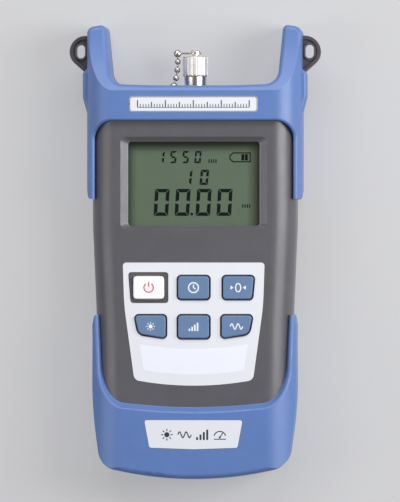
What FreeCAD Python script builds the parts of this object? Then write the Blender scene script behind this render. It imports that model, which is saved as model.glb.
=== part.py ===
"""Handheld optical power meter in a rubber jacket, lying on its back.

Millimetres. X runs across the meter, Y along it towards the fibre adaptor, Z up out of its face.
The origin is at the middle of the meter's outline, on the surface that its back rests on.
"""
import FreeCAD, Part
import math
import os

Vec = FreeCAD.Vector

# ---- face of the meter, from the horn tips down to the bottom edge; their sum is its length ----
HORN_LENGTH = 23.4          # horn tips above the jacket's upper edge
BAND_HEIGHT = 13.5          # jacket band with the title plate
DISPLAY_MARGIN = 6.2        # band to the display's bevel
BEVEL_TOP = 1.9
VIEW_HEIGHT = 32.5          # display opening at the window
BEVEL_BOTTOM = 1.2
KEYPAD_GAP = 12.95          # bevel to the keypad plate
KEYPAD_HEIGHT = 47.4
KEYPAD_MARGIN = 8.3         # keypad plate to the lower cup's lip
CUP_HEIGHT = 27.65

# ---- across the face ----
VIEW_WIDTH = 50.7
BEVEL_SIDE = 2.9
OVERLAY_TOP_WIDTH = 54.7
OVERLAY_MID_STEP = 0.55     # how far each side of the keypad plate has drawn in at mid height
OVERLAY_FOOT_STEP = 4.45    # and at its foot
FACE_MARGIN = 2.85          # flat face beside the keypad plate
SHOULDER_RADIUS = 9.2       # rounded shoulders of the front shell

# ---- through the meter, from the back up ----
JACKET_WALL = 2.2           # rubber on the back, the sides and the horns
REAR_DEPTH = 15.0           # rear shell
FRONT_DEPTH = 14.6          # front shell
BAND_PROUD = 2.4            # jacket band above the front shell
SHELL_WALL = 2.2
REAR_EDGE_RADIUS = 5.0
CAVITY_EDGE = 2.0

# ---- housing outline ----
TAPER_DROP = 40.6           # straight sides end this far below the band
WAIST_DROP = 80.6           # side window level, below the band
FOOT_RISE = 27.5            # lower sides start to round in, above the bottom edge
WINDOW_INSET = 1.7          # how far the sides have drawn in at those three levels
WAIST_INSET = 2.15
FOOT_INSET = 5.5
FOOT_HEIGHT = 4.6           # corner of the bottom arc above the bottom edge
SIDE_BLEND = 150.0          # long blends between the side tapers
HOUSING_CORNER = 10.0

# ---- horns ----
HORN_ROOT_WIDTH = 9.4
HORN_TIP_WIDTH = 7.25
HORN_TIP_DROP = 0.9         # the tip falls away towards the outside
HORN_CROWN = 0.33           # its inner corner, before rounding, above the highest point
HORN_ROOT_RADIUS = 5.5
TOP_EDGE_RISE = 0.6         # upper edge is a little higher at the horns
TOP_FLAT = 32.0             # straight middle of the upper edge
TOP_BLEND = 300.0
FACET_CREASE = 1.9          # crease below the upper edge
FACET_ANGLE = 25.0
FACET_RADIUS = 79.5
HORN_INNER_CORNER = 2.0     # corners of the tip in the outline
HORN_OUTER_CORNER = 3.2
HORN_CORE_CORNER = 0.9      # the same corners of the shells inside
HORN_EDGE = 1.8             # rounding of the front edges
REAR_EDGE = 0.8             # easing of the rear edges
BOTTOM_ARC_SHARE = 0.78     # of the bottom edge; the corners take the rest

# ---- jacket ----
BAND_ROUNDING = 10.5        # rounding along the band's sides
CUP_ROUNDING = 14.0         # and along the cup's
FRONT_EDGE = 2.0            # easing of the bottom edge
CUP_CORNER = 8.0            # corners of the cup's outline
TONGUE_WALL = 1.55          # rubber at the tips of the lower tongues
UPPER_TONGUE = 30.2         # tongues along the sides, from the opening's ends
LOWER_TONGUE = 35.55
TONGUE_TIP_RUN = 3.6        # tongue tips narrow over this length
TONGUE_TIP_STEP = 0.7       # and by this much before their corner
TONGUE_TIP_CORNER = 1.2
BACK_PANEL_INSET = 7.2      # jacket's back between the side windows, from the housing's side
BACK_PANEL_CORNER = 5.0
LIP_COVER = 1.1             # how far the lip reaches over the shoulder
CUP_LIP_COVER = 1.4
LIP_CORNER = 7.0
CUP_LIP_CORNER = 12.0
CUP_LIP_SAG = 2.6
LIP_EDGE = 0.9
CUP_LIP_SHARE = 0.65        # arc's share of the cup's lip
LIP_SLOPE_DEPTH = 6.7       # the cup's lip slopes in to this depth
LIP_SLOPE_SIDE = 2.1        # by this much along the tongues
LIP_SLOPE_FOOT = 5.6        # and by this much along the foot
LIP_SIDE_TAPER = 0.8        # cup's opening narrows this much to its foot on each side
LIP_WAIST_STEP = 1.3        # and this much down the lower tongues
LIP_TURN_RISE = 20.0        # where that taper starts, above the lip
LIP_TURN_RADIUS = 40.0
TONGUE_TURN = 9.0           # the lip turns from band to cup between these points past the tongues
BULGE_PROUD = 1.7           # bulge of the jacket over a lug's foot
BULGE_LENGTH = 12.6
BULGE_EDGE = 1.2
BULGE_STEP = 1.5            # slant of its upper end
BULGE_RADIUS = 1.5
BULGE_RUN_OUT = 0.25        # share of its length over which it fades below
BACK_WINDOW_MARGIN = 3.2    # jacket's rear window round the battery door
TOP_SLOT_WIDTH = 30.0       # jacket slot round the adaptor
TOP_SLOT_HEIGHT = 19.0
TOP_SLOT_CORNER = 4.0

# ---- strap lugs ----
LUG_DROP = 3.9              # top of the eye below the horn tips
LUG_LENGTH = 14.4
LUG_REACH = 7.05            # eye beyond the jacket's side
LUG_WEB = 3.8
LUG_RIM = 5.6
LUG_RIM_WIDTH = 1.2
LUG_HOLE_WIDTH = 3.3
LUG_HOLE_LENGTH = 5.2
LUG_HOLE_OFFSET = 2.7       # hole centre beyond the jacket's side
LUG_FOOT_THICKNESS = 1.2
LUG_FOOT_WIDTH = 11.0
LUG_FOOT_LENGTH = 27.0
LUG_HEEL_THICKNESS = 2.2
LUG_HEEL_LENGTH = 9.0
LUG_TOP_RADIUS = 6.2        # roundings of the D from its top outer corner down
LUG_END_RADIUS = 6.0
LUG_END_RISE = 5.5          # lower rounding above the eye's end
LUG_END_STEP = 0.85         # end corner beyond the jacket's side
LUG_END_CORNER = 0.5
LUG_HOLE_RISE = 1.1         # hole centre above the eye's middle
LONG_HOLE_FLAT = 0.01       # half of the flat left at a slot's end

# ---- plates on the jacket ----
TITLE_WIDTH = 49.5
TITLE_HEIGHT = 6.0
TITLE_DROP = 7.25           # centre below the jacket's upper edge
FOOT_PLATE_TOP = 37.9
FOOT_PLATE_BOTTOM = 34.0
FOOT_PLATE_HEIGHT = 11.2
FOOT_PLATE_RISE = 17.1      # centre above the bottom edge
PLATE_THICKNESS = 0.7
PLATE_POCKET = 0.5
PLATE_CLEARANCE = 0.15
TITLE_CORNER = 1.2
FOOT_PLATE_CORNER = 0.8
FOOT_PLATE_SAG = 0.6        # bowed lower edge

# ---- display ----
BEVEL_DEPTH = 1.4
VIEW_CORNER = 1.2
BRIM_CORNER = 2.2
WINDOW_THICKNESS = 1.0
WINDOW_SEAT = 1.3           # window beyond its opening on each side
GLASS_GAP = 0.2
GLASS_THICKNESS = 2.8
GLASS_RIM = 2.2             # glass beyond the view on each side
LIGHT_WALL = 1.6
STRIP_THICKNESS = 2.0

# ---- keys ----
KEY_WIDTH = 11.9
KEY_HEIGHT = 8.75
KEY_CORNER = 1.2
LOW_KEY_STEP = 0.55         # lower outer keys sit this much nearer to the middle
LOW_KEY_LEAN = 1.6          # slanted outer side of those two
LOW_KEY_RISE = 1.7          # and how far their lower side rises towards it
KEY_LEAN = 0.9              # slanted side of the upper right key
KEY_SIDE_MARGIN = 4.1       # outer keys to the keypad plate's upper corners
KEY_ROW_PITCH = 15.1
KEY_ROW_DROP = 9.65         # first row below the keypad plate's upper edge
KEY_PROUD = 1.3             # key tops above the front shell
KEY_EDGE = 0.45
KEY_TRAVEL = 0.8
KEY_CLEARANCE = 0.35
KEY_STEM_RADIUS = 2.5
FLANGE_RIM = 0.8
FLANGE_THICKNESS = 0.9
STOP_GAP = 0.1              # play above the flange, and under it at full travel
PLATE_WINDOW_MARGIN = 0.65
POWER_WINDOW_MARGIN = 1.6   # bare housing round the white key
OVERLAY_THICKNESS = 0.5
OVERLAY_POCKET = 0.3
OVERLAY_CORNER = 1.3
OVERLAY_SIDE_RADIUS = 80.0
OVERLAY_SAG = 2.1           # bowed lower edge
OVERLAY_ARC_SHARE = 0.85
OVERLAY_MID_DROP = 16.6     # where the sides turn in, below the upper edge
POWER_WINDOW_LEAN = 0.5
MAT_THICKNESS = 1.0
MAT_MARGIN = 4.0
COLLAR_WALL = 1.0
COLLAR_CLEARANCE = 0.5

# ---- board and fastenings ----
BOARD_THICKNESS = 1.6
BOARD_CLEARANCE = 3.0       # to the shell's inner sides
BOARD_EDGE = 4.0            # upper and lower edges beyond the screws
BOARD_NECK = 12.0           # half width of the neck that reaches up to the detector's legs
BOARD_NECK_EDGE = 2.0
BOARD_CORNER = 2.0
CELL_RADIUS = 7.25
CELL_LENGTH = 50.5
CELL_GAP = 0.6
CELL_CAP_RADIUS = 2.75
CELL_CAP_LENGTH = 1.0
CELL_EDGE = 0.6
BAY_WALL = 1.3
CONTACT_SPACE = 2.6
CONTACT_THICKNESS = 0.4
CONTACT_WIDTH = 8.0
LEAF_HALF = 4.5             # leaf's foot from the cell's axis
LEAF_NOSE = 0.8             # half of its flat nose
DOOR_THICKNESS = 1.8
DOOR_LEDGE = 1.5
DOOR_CLEARANCE = 0.25
DOOR_CORNER = 2.0
HOOK_WIDTH = 5.0
HOOK_REACH = 2.0
HOOK_THICKNESS = 1.2
RIB_WIDTH = 1.0             # ribs on the door, between the cells
RIB_RISE = 1.6              # above the cells' lowest line
RIB_END = 6.0
GRIP_RADIUS = 8.0           # thumb notch in the rear shell, below the door
GRIP_DEPTH = 0.8
GRIP_LENGTH = 4.0
GROOVE_COUNT = 5            # grooves on the door's thumb rest
GROOVE_PITCH = 2.0
GROOVE_WIDTH = 0.9
GROOVE_DEPTH = 0.5
GROOVE_LENGTH = 16.0
GROOVE_STEP = 1.5           # each groove is this much shorter than the one below
GROOVE_INSET = 5.0          # first groove from the door's lower edge
BOSS_RADIUS = 3.4
SCREW_RADIUS = 1.4
SCREW_HEAD_RADIUS = 2.6
SCREW_HEAD_HEIGHT = 1.8
SCREW_GRIP = 8.0            # screw length in the front shell's boss
SCREW_CLEARANCE = 0.2
SINK_CLEARANCE = 0.3
RECESS_LENGTH = 3.0
RECESS_WIDTH = 0.7
BOSS_TOP_DROP = 5.4         # upper bosses below the housing's top face
BOSS_TOP_INSET = 9.4        # from the housing's side
BOSS_FOOT_RISE = 12.0       # lower bosses above the bottom edge
BOSS_FOOT_INSET = 12.4
POST_RADIUS = 2.7
POST_INSET = 8.2            # from the housing's side
POST_CLEARANCE = 0.4        # to the display's glass
BOARD_SCREW_RADIUS = 1.0
BOARD_SCREW_HEAD = 1.9
BOARD_SCREW_HEAD_HEIGHT = 1.3
BOARD_SCREW_GRIP = 4.0
RIM_LIP = 1.0               # tongue and groove where the shells meet
RIM_LIP_HEIGHT = 1.5
RIM_LIP_GAP = 8.0           # the rim's lip leaves this much of the foot's middle free
RIM_LIP_CLEARANCE = 0.1

# ---- fibre adaptor, dust cap and chain ----
BARREL_RADIUS = 4.25
BARREL_REACH = 5.8          # smooth barrel above the housing's top face
THREAD_RADIUS = 4.0
THREAD_LENGTH = 6.4
FERRULE_RADIUS = 1.25
NUT_FLATS = 12.0
NUT_THICKNESS = 1.9
NUT_CORNER = 0.5
THREAD_CHAMFER = 0.4
ADAPTOR_FLANGE_RADIUS = 5.6
ADAPTOR_FLANGE_THICKNESS = 1.4
CAP_RADIUS = 4.9
CAP_LENGTH = 7.9
CAP_CLEARANCE = 0.1
CAP_SEAT_GAP = 0.1
CAP_EDGE = 0.8
CAP_FLUTE_COUNT = 18
FLUTE_RADIUS = 0.42
RIVET_POST_RADIUS = 1.15
RIVET_POST_LENGTH = 1.5
RIVET_HEAD_RADIUS = 1.85
RIVET_HEAD_HEIGHT = 0.8
TAB_THICKNESS = 0.6
TAB_RIM = 1.1
TAB_WIDTH = 1.6
TAB_CLEARANCE = 0.1
CLASP_RADIUS = 1.55
CLASP_WALL = 0.25
CLASP_MOUTH = 0.55
BEAD_RADIUS = 1.2
END_BEAD_RADIUS = 1.15
LINK_RADIUS = 0.3
FREE_BEAD_COUNT = 3
TAB_REACH = 6.9             # rivet to the clasp
ANCHOR_X = -8.4             # clasp of the tab on the housing
ANCHOR_DEPTH = 2.0          # below the adaptor's axis
ANCHOR_RISE = 2.3           # clasp above the housing's top face
ANCHOR_ACROSS = 3.7         # screw from the clasp, across the meter and towards its back
ANCHOR_FALL = 2.8
CHAIN_BOW = 0.55
CHAIN_SAG = 0.9
ANCHOR_SCREW_RADIUS = 0.9
ANCHOR_SCREW_HEAD = 1.8
ANCHOR_SCREW_HEIGHT = 1.1
ANCHOR_SCREW_EDGE = 0.5
CAN_RADIUS = 2.35
CAN_FLANGE_RADIUS = 2.7
CAN_FLANGE_THICKNESS = 0.5
CAN_LENGTH = 3.6
LEG_RADIUS = 0.23
LEG_PITCH = 1.27
LEG_RUN = 3.0

# ---- levels that follow from the sizes above ----
LENGTH = (HORN_LENGTH + BAND_HEIGHT + DISPLAY_MARGIN + BEVEL_TOP + VIEW_HEIGHT + BEVEL_BOTTOM
          + KEYPAD_GAP + KEYPAD_HEIGHT + KEYPAD_MARGIN + CUP_HEIGHT)
TIP_Y = LENGTH / 2
UPPER_Y = TIP_Y - HORN_LENGTH
BAND_Y = UPPER_Y - BAND_HEIGHT
VIEW_TOP_Y = BAND_Y - DISPLAY_MARGIN - BEVEL_TOP
VIEW_BOTTOM_Y = VIEW_TOP_Y - VIEW_HEIGHT
VIEW_Y = (VIEW_TOP_Y + VIEW_BOTTOM_Y) / 2
OVERLAY_TOP_Y = VIEW_BOTTOM_Y - BEVEL_BOTTOM - KEYPAD_GAP
OVERLAY_BOTTOM_Y = OVERLAY_TOP_Y - KEYPAD_HEIGHT
LIP_Y = OVERLAY_BOTTOM_Y - KEYPAD_MARGIN
BOTTOM_Y = -TIP_Y
HOUSING_TOP_Y = UPPER_Y - JACKET_WALL
HOUSING_BOTTOM_Y = BOTTOM_Y + JACKET_WALL
TONGUE_TOP_Y = BAND_Y - UPPER_TONGUE
TONGUE_BOTTOM_Y = LIP_Y + LOWER_TONGUE

HOUSING_HALF = OVERLAY_TOP_WIDTH / 2 + FACE_MARGIN + SHOULDER_RADIUS
JACKET_HALF = HOUSING_HALF + JACKET_WALL

BACK_Z = JACKET_WALL
SPLIT_Z = BACK_Z + REAR_DEPTH
FRONT_Z = SPLIT_Z + FRONT_DEPTH
JACKET_FRONT_Z = FRONT_Z + BAND_PROUD
INNER_FRONT_Z = FRONT_Z - SHELL_WALL
INNER_BACK_Z = BACK_Z + SHELL_WALL
WINDOW_TOP_Z = FRONT_Z - BEVEL_DEPTH
GLASS_TOP_Z = WINDOW_TOP_Z - WINDOW_THICKNESS - GLASS_GAP
GLASS_BOTTOM_Z = GLASS_TOP_Z - GLASS_THICKNESS
DOOR_TOP_Z = BACK_Z + DOOR_THICKNESS
CELL_Z = DOOR_TOP_Z + 2 * STOP_GAP + CELL_RADIUS
BAY_ROOF_Z = CELL_Z + CELL_RADIUS + STOP_GAP + BAY_WALL
BOARD_BOTTOM_Z = BAY_ROOF_Z + STOP_GAP
BOARD_Z = BOARD_BOTTOM_Z + BOARD_THICKNESS

BAY_HALF = 3 * CELL_RADIUS + CELL_GAP
BAY_LENGTH = CELL_LENGTH + CELL_CAP_LENGTH + 2 * CONTACT_SPACE
BAY_TOP_Y = OVERLAY_TOP_Y + CONTACT_SPACE
BAY_BOTTOM_Y = BAY_TOP_Y - BAY_LENGTH
DOOR_TOP_Y = BAY_TOP_Y + DOOR_LEDGE
DOOR_BOTTOM_Y = BAY_BOTTOM_Y - DOOR_LEDGE

CAP_Y = HOUSING_TOP_Y + BARREL_REACH + CAP_SEAT_GAP
CAP_TOP_Y = CAP_Y + CAP_LENGTH
TAB_Y = CAP_TOP_Y + RIVET_POST_LENGTH - TAB_CLEARANCE - TAB_THICKNESS
BEYOND = 60.0               # how far cutting tools run past the meter
PAST = 1.0                  # and past a face they open
MERGE = 0.5                 # how far a boss runs into the wall that it grows from
EDGE_TOLERANCE = 0.01       # below this an edge's run across the meter counts as nothing


# ---- helpers ----

def rounded_face(points):
    """Flat face through the corners (x, y, radius), each corner rounded by its radius."""
    corners = [Vec(x, y, 0) for x, y, _ in points]
    ends = []
    arcs = {}
    for i, corner in enumerate(corners):
        radius = points[i][2]
        if radius == 0:
            ends.append((corner, corner))
            continue
        before = (corners[i - 1] - corner).normalize()
        after = (corners[(i + 1) % len(corners)] - corner).normalize()
        half = before.getAngle(after) / 2
        reach = radius / math.tan(half)
        inward = (before + after).normalize()
        middle = corner + inward * (radius / math.sin(half) - radius)
        ends.append((corner + before * reach, corner + after * reach))
        arcs[i] = Part.Arc(ends[i][0], middle, ends[i][1]).toShape()
    outline = []
    for i, (_, leaving) in enumerate(ends):
        if i in arcs:
            outline.append(arcs[i])
        arriving = ends[(i + 1) % len(ends)][0]
        if leaving.distanceToPoint(arriving) > 1e-6:
            outline.append(Part.LineSegment(leaving, arriving).toShape())
    return Part.Face(Part.Wire(outline))


def bowed_end(half, y, sag, share):
    """Corner that bows the end between (half, y) and its mirror image outwards by sag.

    The arc takes up that share of the end's length and leaves the rest for the corners beside it.
    """
    drop = sag / (1 - share / 2)
    return (0, y - drop, share * half * half / drop)


def both_sides(right):
    """Closed outline from its right half, listed from the top centre down to the bottom."""
    left = [(-x, y, radius) for x, y, radius in reversed(right) if x > 0]
    return right + left


def rectangle(x, y, width, height, radius):
    w, h = width / 2, height / 2
    return [(x + w, y + h, radius), (x + w, y - h, radius), (x - w, y - h, radius), (x - w, y + h, radius)]


def long_hole(x, y, width, length):
    """Slot along Y, its ends all but half round."""
    return rectangle(x, y, width, length, width / 2 - LONG_HOLE_FLAT)


def prism(points, low, high):
    """Outline in X and Y, raised along Z."""
    return rounded_face(points).extrude(Vec(0, 0, high - low)).translate(Vec(0, 0, low))


def prism_along_x(points, low, high):
    """Outline in Y and Z, run along X."""
    solid = rounded_face(points).extrude(Vec(0, 0, high - low)).translate(Vec(0, 0, low))
    solid.rotate(Vec(0, 0, 0), Vec(1, 1, 1), 120)
    return solid


def prism_along_y(points, low, high):
    """Outline in X and Z, run along Y."""
    solid = rounded_face(points).extrude(Vec(0, 0, low - high)).translate(Vec(0, 0, -low))
    solid.rotate(Vec(0, 0, 0), Vec(1, 0, 0), 90)
    return solid


def box(x0, x1, y0, y1, z0, z1):
    return Part.makeBox(x1 - x0, y1 - y0, z1 - z0, Vec(x0, y0, z0))


def rod(radius, start, end):
    along = end - start
    return Part.makeCylinder(radius, along.Length, start, along)


def turned(points, x, z):
    """Solid of revolution about the line parallel to Y through (x, z); points are (radius, y)."""
    wire = Part.makePolygon([Vec(radius, y, 0) for radius, y in points + points[:1]])
    solid = Part.Face(wire).revolve(Vec(0, 0, 0), Vec(0, 1, 0), 360)
    return solid.translate(Vec(x, 0, z))


def fuse(parts):
    return parts[0].fuse(parts[1:]).removeSplitter() if len(parts) > 1 else parts[0]


def cut(solid, tools):
    return solid.cut(tools)


def round_edges(solid, radius, wanted):
    return solid.makeFillet(radius, [edge for edge in solid.Edges if wanted(edge)])


def lies_at(edge, z):
    bounds = edge.BoundBox
    return abs(bounds.ZMin - z) < 1e-4 and abs(bounds.ZMax - z) < 1e-4


def mirrored(solid):
    return solid.mirror(Vec(0, 0, 0), Vec(1, 0, 0))


# ---- outlines shared by the housing and the jacket ----

def side_stations(wall, tongue_wall, bottom_y, corner):
    """Right side from the top tongue down to the bottom arc; wall is the rubber outside the housing."""
    half = HOUSING_HALF + wall
    foot_half = HOUSING_HALF - FOOT_INSET + wall
    foot_y = bottom_y + FOOT_HEIGHT
    return [
        (half, BAND_Y - TAPER_DROP + wall, SIDE_BLEND),
        (HOUSING_HALF - WINDOW_INSET + tongue_wall, BAND_Y - WAIST_DROP, SIDE_BLEND),
        (HOUSING_HALF - WAIST_INSET + wall, BOTTOM_Y + FOOT_RISE, SIDE_BLEND),
        (foot_half, foot_y, corner),
        bowed_end(foot_half, foot_y, FOOT_HEIGHT, BOTTOM_ARC_SHARE),
    ]


def horn_outline(inset, rise, wall, tongue_wall, bottom_y, corner):
    """Outline with both horns; inset draws the upper lines inwards, rise lifts the edge at the horns."""
    outer = HOUSING_HALF + wall
    tip_corners = [max(radius - inset, HORN_CORE_CORNER) for radius in (HORN_INNER_CORNER, HORN_OUTER_CORNER)]
    root = JACKET_HALF - HORN_ROOT_WIDTH + inset
    tip = JACKET_HALF - HORN_TIP_WIDTH + inset
    right = [
        (TOP_FLAT / 2, UPPER_Y - inset, TOP_BLEND if rise else 0),
        (root, UPPER_Y + rise - inset, HORN_ROOT_RADIUS),
        (tip, TIP_Y + HORN_CROWN - inset, tip_corners[0]),
        (outer, TIP_Y - HORN_TIP_DROP - inset, tip_corners[1]),
    ]
    return both_sides(right + side_stations(wall, tongue_wall, bottom_y, corner))


def pillow(wall, tongue_wall, bottom_y, corner, low, high, front_radius):
    """Block with rounded front and rear edges that runs on past the horn tips."""
    end_y = TIP_Y + BEYOND
    right = [(HOUSING_HALF + wall, end_y, 0)] + side_stations(wall, tongue_wall, bottom_y, corner)
    block = prism(both_sides(right), low, high)
    block = round_edges(block, REAR_EDGE_RADIUS, lambda e: lies_at(e, low) and e.BoundBox.YMin < TIP_Y)
    return round_edges(block, front_radius, lambda e: lies_at(e, high) and e.BoundBox.YMin < TIP_Y)


def facet_cutter(depth):
    """Roll that hollows the horns' front into a facet; depth is how far inside the jacket it works."""
    slope = math.radians(FACET_ANGLE)
    centre_y = UPPER_Y - FACET_CREASE + FACET_RADIUS * math.sin(slope)
    centre_z = JACKET_FRONT_Z + FACET_RADIUS * math.cos(slope)
    start = Vec(-BEYOND, centre_y, centre_z)
    return Part.makeCylinder(FACET_RADIUS + depth, 2 * BEYOND, start, Vec(1, 0, 0))


def housing_envelope():
    block = pillow(0, 0, HOUSING_BOTTOM_Y, HOUSING_CORNER, BACK_Z, FRONT_Z, SHOULDER_RADIUS)
    outline = horn_outline(JACKET_WALL, 0, 0, 0, HOUSING_BOTTOM_Y, HOUSING_CORNER)
    block = block.common(prism(outline, BACK_Z - PAST, FRONT_Z + PAST))
    return block.cut(facet_cutter(JACKET_WALL))


def cavity():
    """Room inside both shells, below the housing's top wall."""
    wall = -SHELL_WALL
    top = HOUSING_TOP_Y - SHELL_WALL
    right = [(HOUSING_HALF + wall, top, CAVITY_EDGE)]
    right += side_stations(wall, wall, HOUSING_BOTTOM_Y + SHELL_WALL, HOUSING_CORNER + wall)
    room = prism(both_sides(right), INNER_BACK_Z, INNER_FRONT_Z)
    room = round_edges(room, SHOULDER_RADIUS - SHELL_WALL,
                       lambda e: lies_at(e, INNER_FRONT_Z) and e.BoundBox.YMin < top - PAST)
    return round_edges(room, REAR_EDGE_RADIUS - SHELL_WALL,
                       lambda e: lies_at(e, INNER_BACK_Z) and e.BoundBox.YMin < top - PAST)


# ---- places of the repeated features ----

def boss_places():
    top = HOUSING_TOP_Y - BOSS_TOP_DROP
    foot = BOTTOM_Y + BOSS_FOOT_RISE
    rows = ((BOSS_TOP_INSET, top), (BOSS_FOOT_INSET, foot))
    return [(side * (HOUSING_HALF - inset), y) for inset, y in rows for side in (-1, 1)]


def post_places():
    """Screw posts for the board: two above the display's glass and two below the keypad."""
    levels = (OVERLAY_BOTTOM_Y, VIEW_TOP_Y + GLASS_RIM + POST_CLEARANCE + POST_RADIUS)
    return [(side * (HOUSING_HALF - POST_INSET), y) for y in levels for side in (-1, 1)]


def cell_places():
    return [(2 * CELL_RADIUS + CELL_GAP / 2) * column for column in (-1, 0, 1)]


def key_centre(column, row):
    pitch = (OVERLAY_TOP_WIDTH - KEY_WIDTH) / 2 - KEY_SIDE_MARGIN - LOW_KEY_STEP * row
    return pitch * (column - 1), OVERLAY_TOP_Y - KEY_ROW_DROP - KEY_ROW_PITCH * row


def key_outline(column, row, growth):
    """Outline of a key's cap; the upper right key and the two lower outer ones have slanted sides."""
    x, y = key_centre(column, row)
    w, h = KEY_WIDTH / 2 + growth, KEY_HEIGHT / 2 + growth
    radius = KEY_CORNER + growth
    lean = KEY_LEAN if (column, row) == (2, 0) else 0
    outline = [(w, h, radius), (w - lean, -h, radius), (-w, -h, radius), (-w, h, radius)]
    if row == 1 and column != 1:
        outline[1] = (w - LOW_KEY_LEAN, -h + LOW_KEY_RISE, 2 * radius)
    if (column, row) == (0, 1):
        outline = [(-px, py, r) for px, py, r in reversed(outline)]
    return [(x + px, y + py, r) for px, py, r in outline]


KEYS = {
    "key_power": (0, 0),
    "key_timer": (1, 0),
    "key_zero": (2, 0),
    "key_light": (0, 1),
    "key_level": (1, 1),
    "key_wave": (2, 1),
}


# ---- shells ----

def lug(side):
    """Strap lug: a D-shaped eye on a flat foot that the jacket holds against the housing."""
    foot_outer = HOUSING_HALF + LUG_FOOT_THICKNESS
    eye_top = TIP_Y - LUG_DROP
    eye_end = eye_top - LUG_LENGTH
    reach = JACKET_HALF + LUG_REACH
    eye = [
        (HOUSING_HALF, eye_top, 0), (reach, eye_top, LUG_TOP_RADIUS),
        (reach, eye_end + LUG_END_RISE, LUG_END_RADIUS),
        (JACKET_HALF + LUG_END_STEP, eye_end, LUG_END_CORNER), (HOUSING_HALF, eye_end, 0),
    ]
    hole_x = JACKET_HALF + LUG_HOLE_OFFSET
    hole_y = (eye_top + eye_end) / 2 + LUG_HOLE_RISE
    hole = long_hole(hole_x, hole_y, LUG_HOLE_WIDTH, LUG_HOLE_LENGTH)
    rim = prism(eye, SPLIT_Z - LUG_RIM / 2, SPLIT_Z + LUG_RIM / 2)
    inner = rounded_face(eye).makeOffset2D(-LUG_RIM_WIDTH)
    hollow = inner.extrude(Vec(0, 0, LUG_RIM)).common(box(JACKET_HALF, BEYOND, 0, TIP_Y, 0, LUG_RIM))
    recess = (LUG_RIM - LUG_WEB) / 2
    front = hollow.copy().translate(Vec(0, 0, SPLIT_Z + LUG_RIM / 2 - recess))
    rear = hollow.copy().translate(Vec(0, 0, SPLIT_Z - LUG_RIM / 2 + recess - LUG_RIM))
    eye_plate = cut(rim, [front, rear])
    collar_width, collar_length = LUG_HOLE_WIDTH + LUG_RIM_WIDTH, LUG_HOLE_LENGTH + LUG_RIM_WIDTH
    collar_outline = long_hole(hole_x, hole_y, collar_width, collar_length)
    collar = prism(collar_outline, SPLIT_Z - LUG_RIM / 2, SPLIT_Z + LUG_RIM / 2)
    low, high = SPLIT_Z - LUG_FOOT_WIDTH / 2, SPLIT_Z + LUG_FOOT_WIDTH / 2
    foot = box(HOUSING_HALF, foot_outer, eye_top - LUG_FOOT_LENGTH, eye_top, low, high)
    heel = box(HOUSING_HALF, HOUSING_HALF + LUG_HEEL_THICKNESS, eye_top - LUG_FOOT_LENGTH,
               eye_top - LUG_FOOT_LENGTH + LUG_HEEL_LENGTH, low, high)
    solid = fuse([eye_plate, collar, foot, heel])
    solid = cut(solid, [prism(hole, 0, FRONT_Z)])
    return solid if side > 0 else mirrored(solid)


def view_outline():
    return rectangle(0, VIEW_Y, VIEW_WIDTH, VIEW_HEIGHT, VIEW_CORNER)


def display_bevel():
    """Tapered recess from the front face down to the display window."""
    view = view_outline()
    brim_y = VIEW_Y + (BEVEL_TOP - BEVEL_BOTTOM) / 2
    brim = rectangle(0, brim_y, VIEW_WIDTH + 2 * BEVEL_SIDE, VIEW_HEIGHT + BEVEL_TOP + BEVEL_BOTTOM,
                     BRIM_CORNER)
    low = rounded_face(view).OuterWire.translate(Vec(0, 0, WINDOW_TOP_Z))
    high = rounded_face(brim).OuterWire.translate(Vec(0, 0, FRONT_Z))
    return Part.makeLoft([low, high], True, True)


def overlay_outline(growth):
    top = OVERLAY_TOP_Y + growth
    bottom = OVERLAY_BOTTOM_Y - growth
    foot_half = OVERLAY_TOP_WIDTH / 2 - OVERLAY_FOOT_STEP + growth
    right = [
        (OVERLAY_TOP_WIDTH / 2 + growth, top, OVERLAY_CORNER),
        (OVERLAY_TOP_WIDTH / 2 - OVERLAY_MID_STEP + growth, OVERLAY_TOP_Y - OVERLAY_MID_DROP,
         OVERLAY_SIDE_RADIUS),
        (foot_half, bottom + OVERLAY_SAG, 2 * OVERLAY_CORNER),
    ]
    return both_sides(right + [bowed_end(foot_half, bottom + OVERLAY_SAG, OVERLAY_SAG, OVERLAY_ARC_SHARE)])


def half_shell(envelope, low, high):
    return envelope.common(box(-BEYOND, BEYOND, -2 * BEYOND, 2 * BEYOND, low, high))


def rim_lip(clearance):
    """Tongue on the front shell's rim that locates in the rear shell."""
    top = HOUSING_TOP_Y - SHELL_WALL + RIM_LIP
    outer_wall = -SHELL_WALL + RIM_LIP + clearance
    right = [(HOUSING_HALF + outer_wall, top + clearance, CAVITY_EDGE)]
    right += side_stations(outer_wall, outer_wall, HOUSING_BOTTOM_Y - outer_wall, HOUSING_CORNER + outer_wall)
    lip = prism(both_sides(right), SPLIT_Z - RIM_LIP_HEIGHT - clearance, SPLIT_Z)
    gap_half = RIM_LIP_GAP / 2 - clearance
    gap = box(-gap_half, gap_half, 2 * HOUSING_BOTTOM_Y, HOUSING_BOTTOM_Y / 2, -PAST, SPLIT_Z + PAST)
    return lip.cut(gap)


def adaptor_hole():
    return rod(BARREL_RADIUS + CAP_CLEARANCE, Vec(0, HOUSING_TOP_Y - 3 * SHELL_WALL, SPLIT_Z),
               Vec(0, HOUSING_TOP_Y + BEYOND, SPLIT_Z))


def anchor_hole():
    x, y, z = anchor_ring_centre()
    return rod(ANCHOR_SCREW_RADIUS, Vec(x, HOUSING_TOP_Y - SHELL_WALL, z), Vec(x, HOUSING_TOP_Y + PAST, z))


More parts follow.
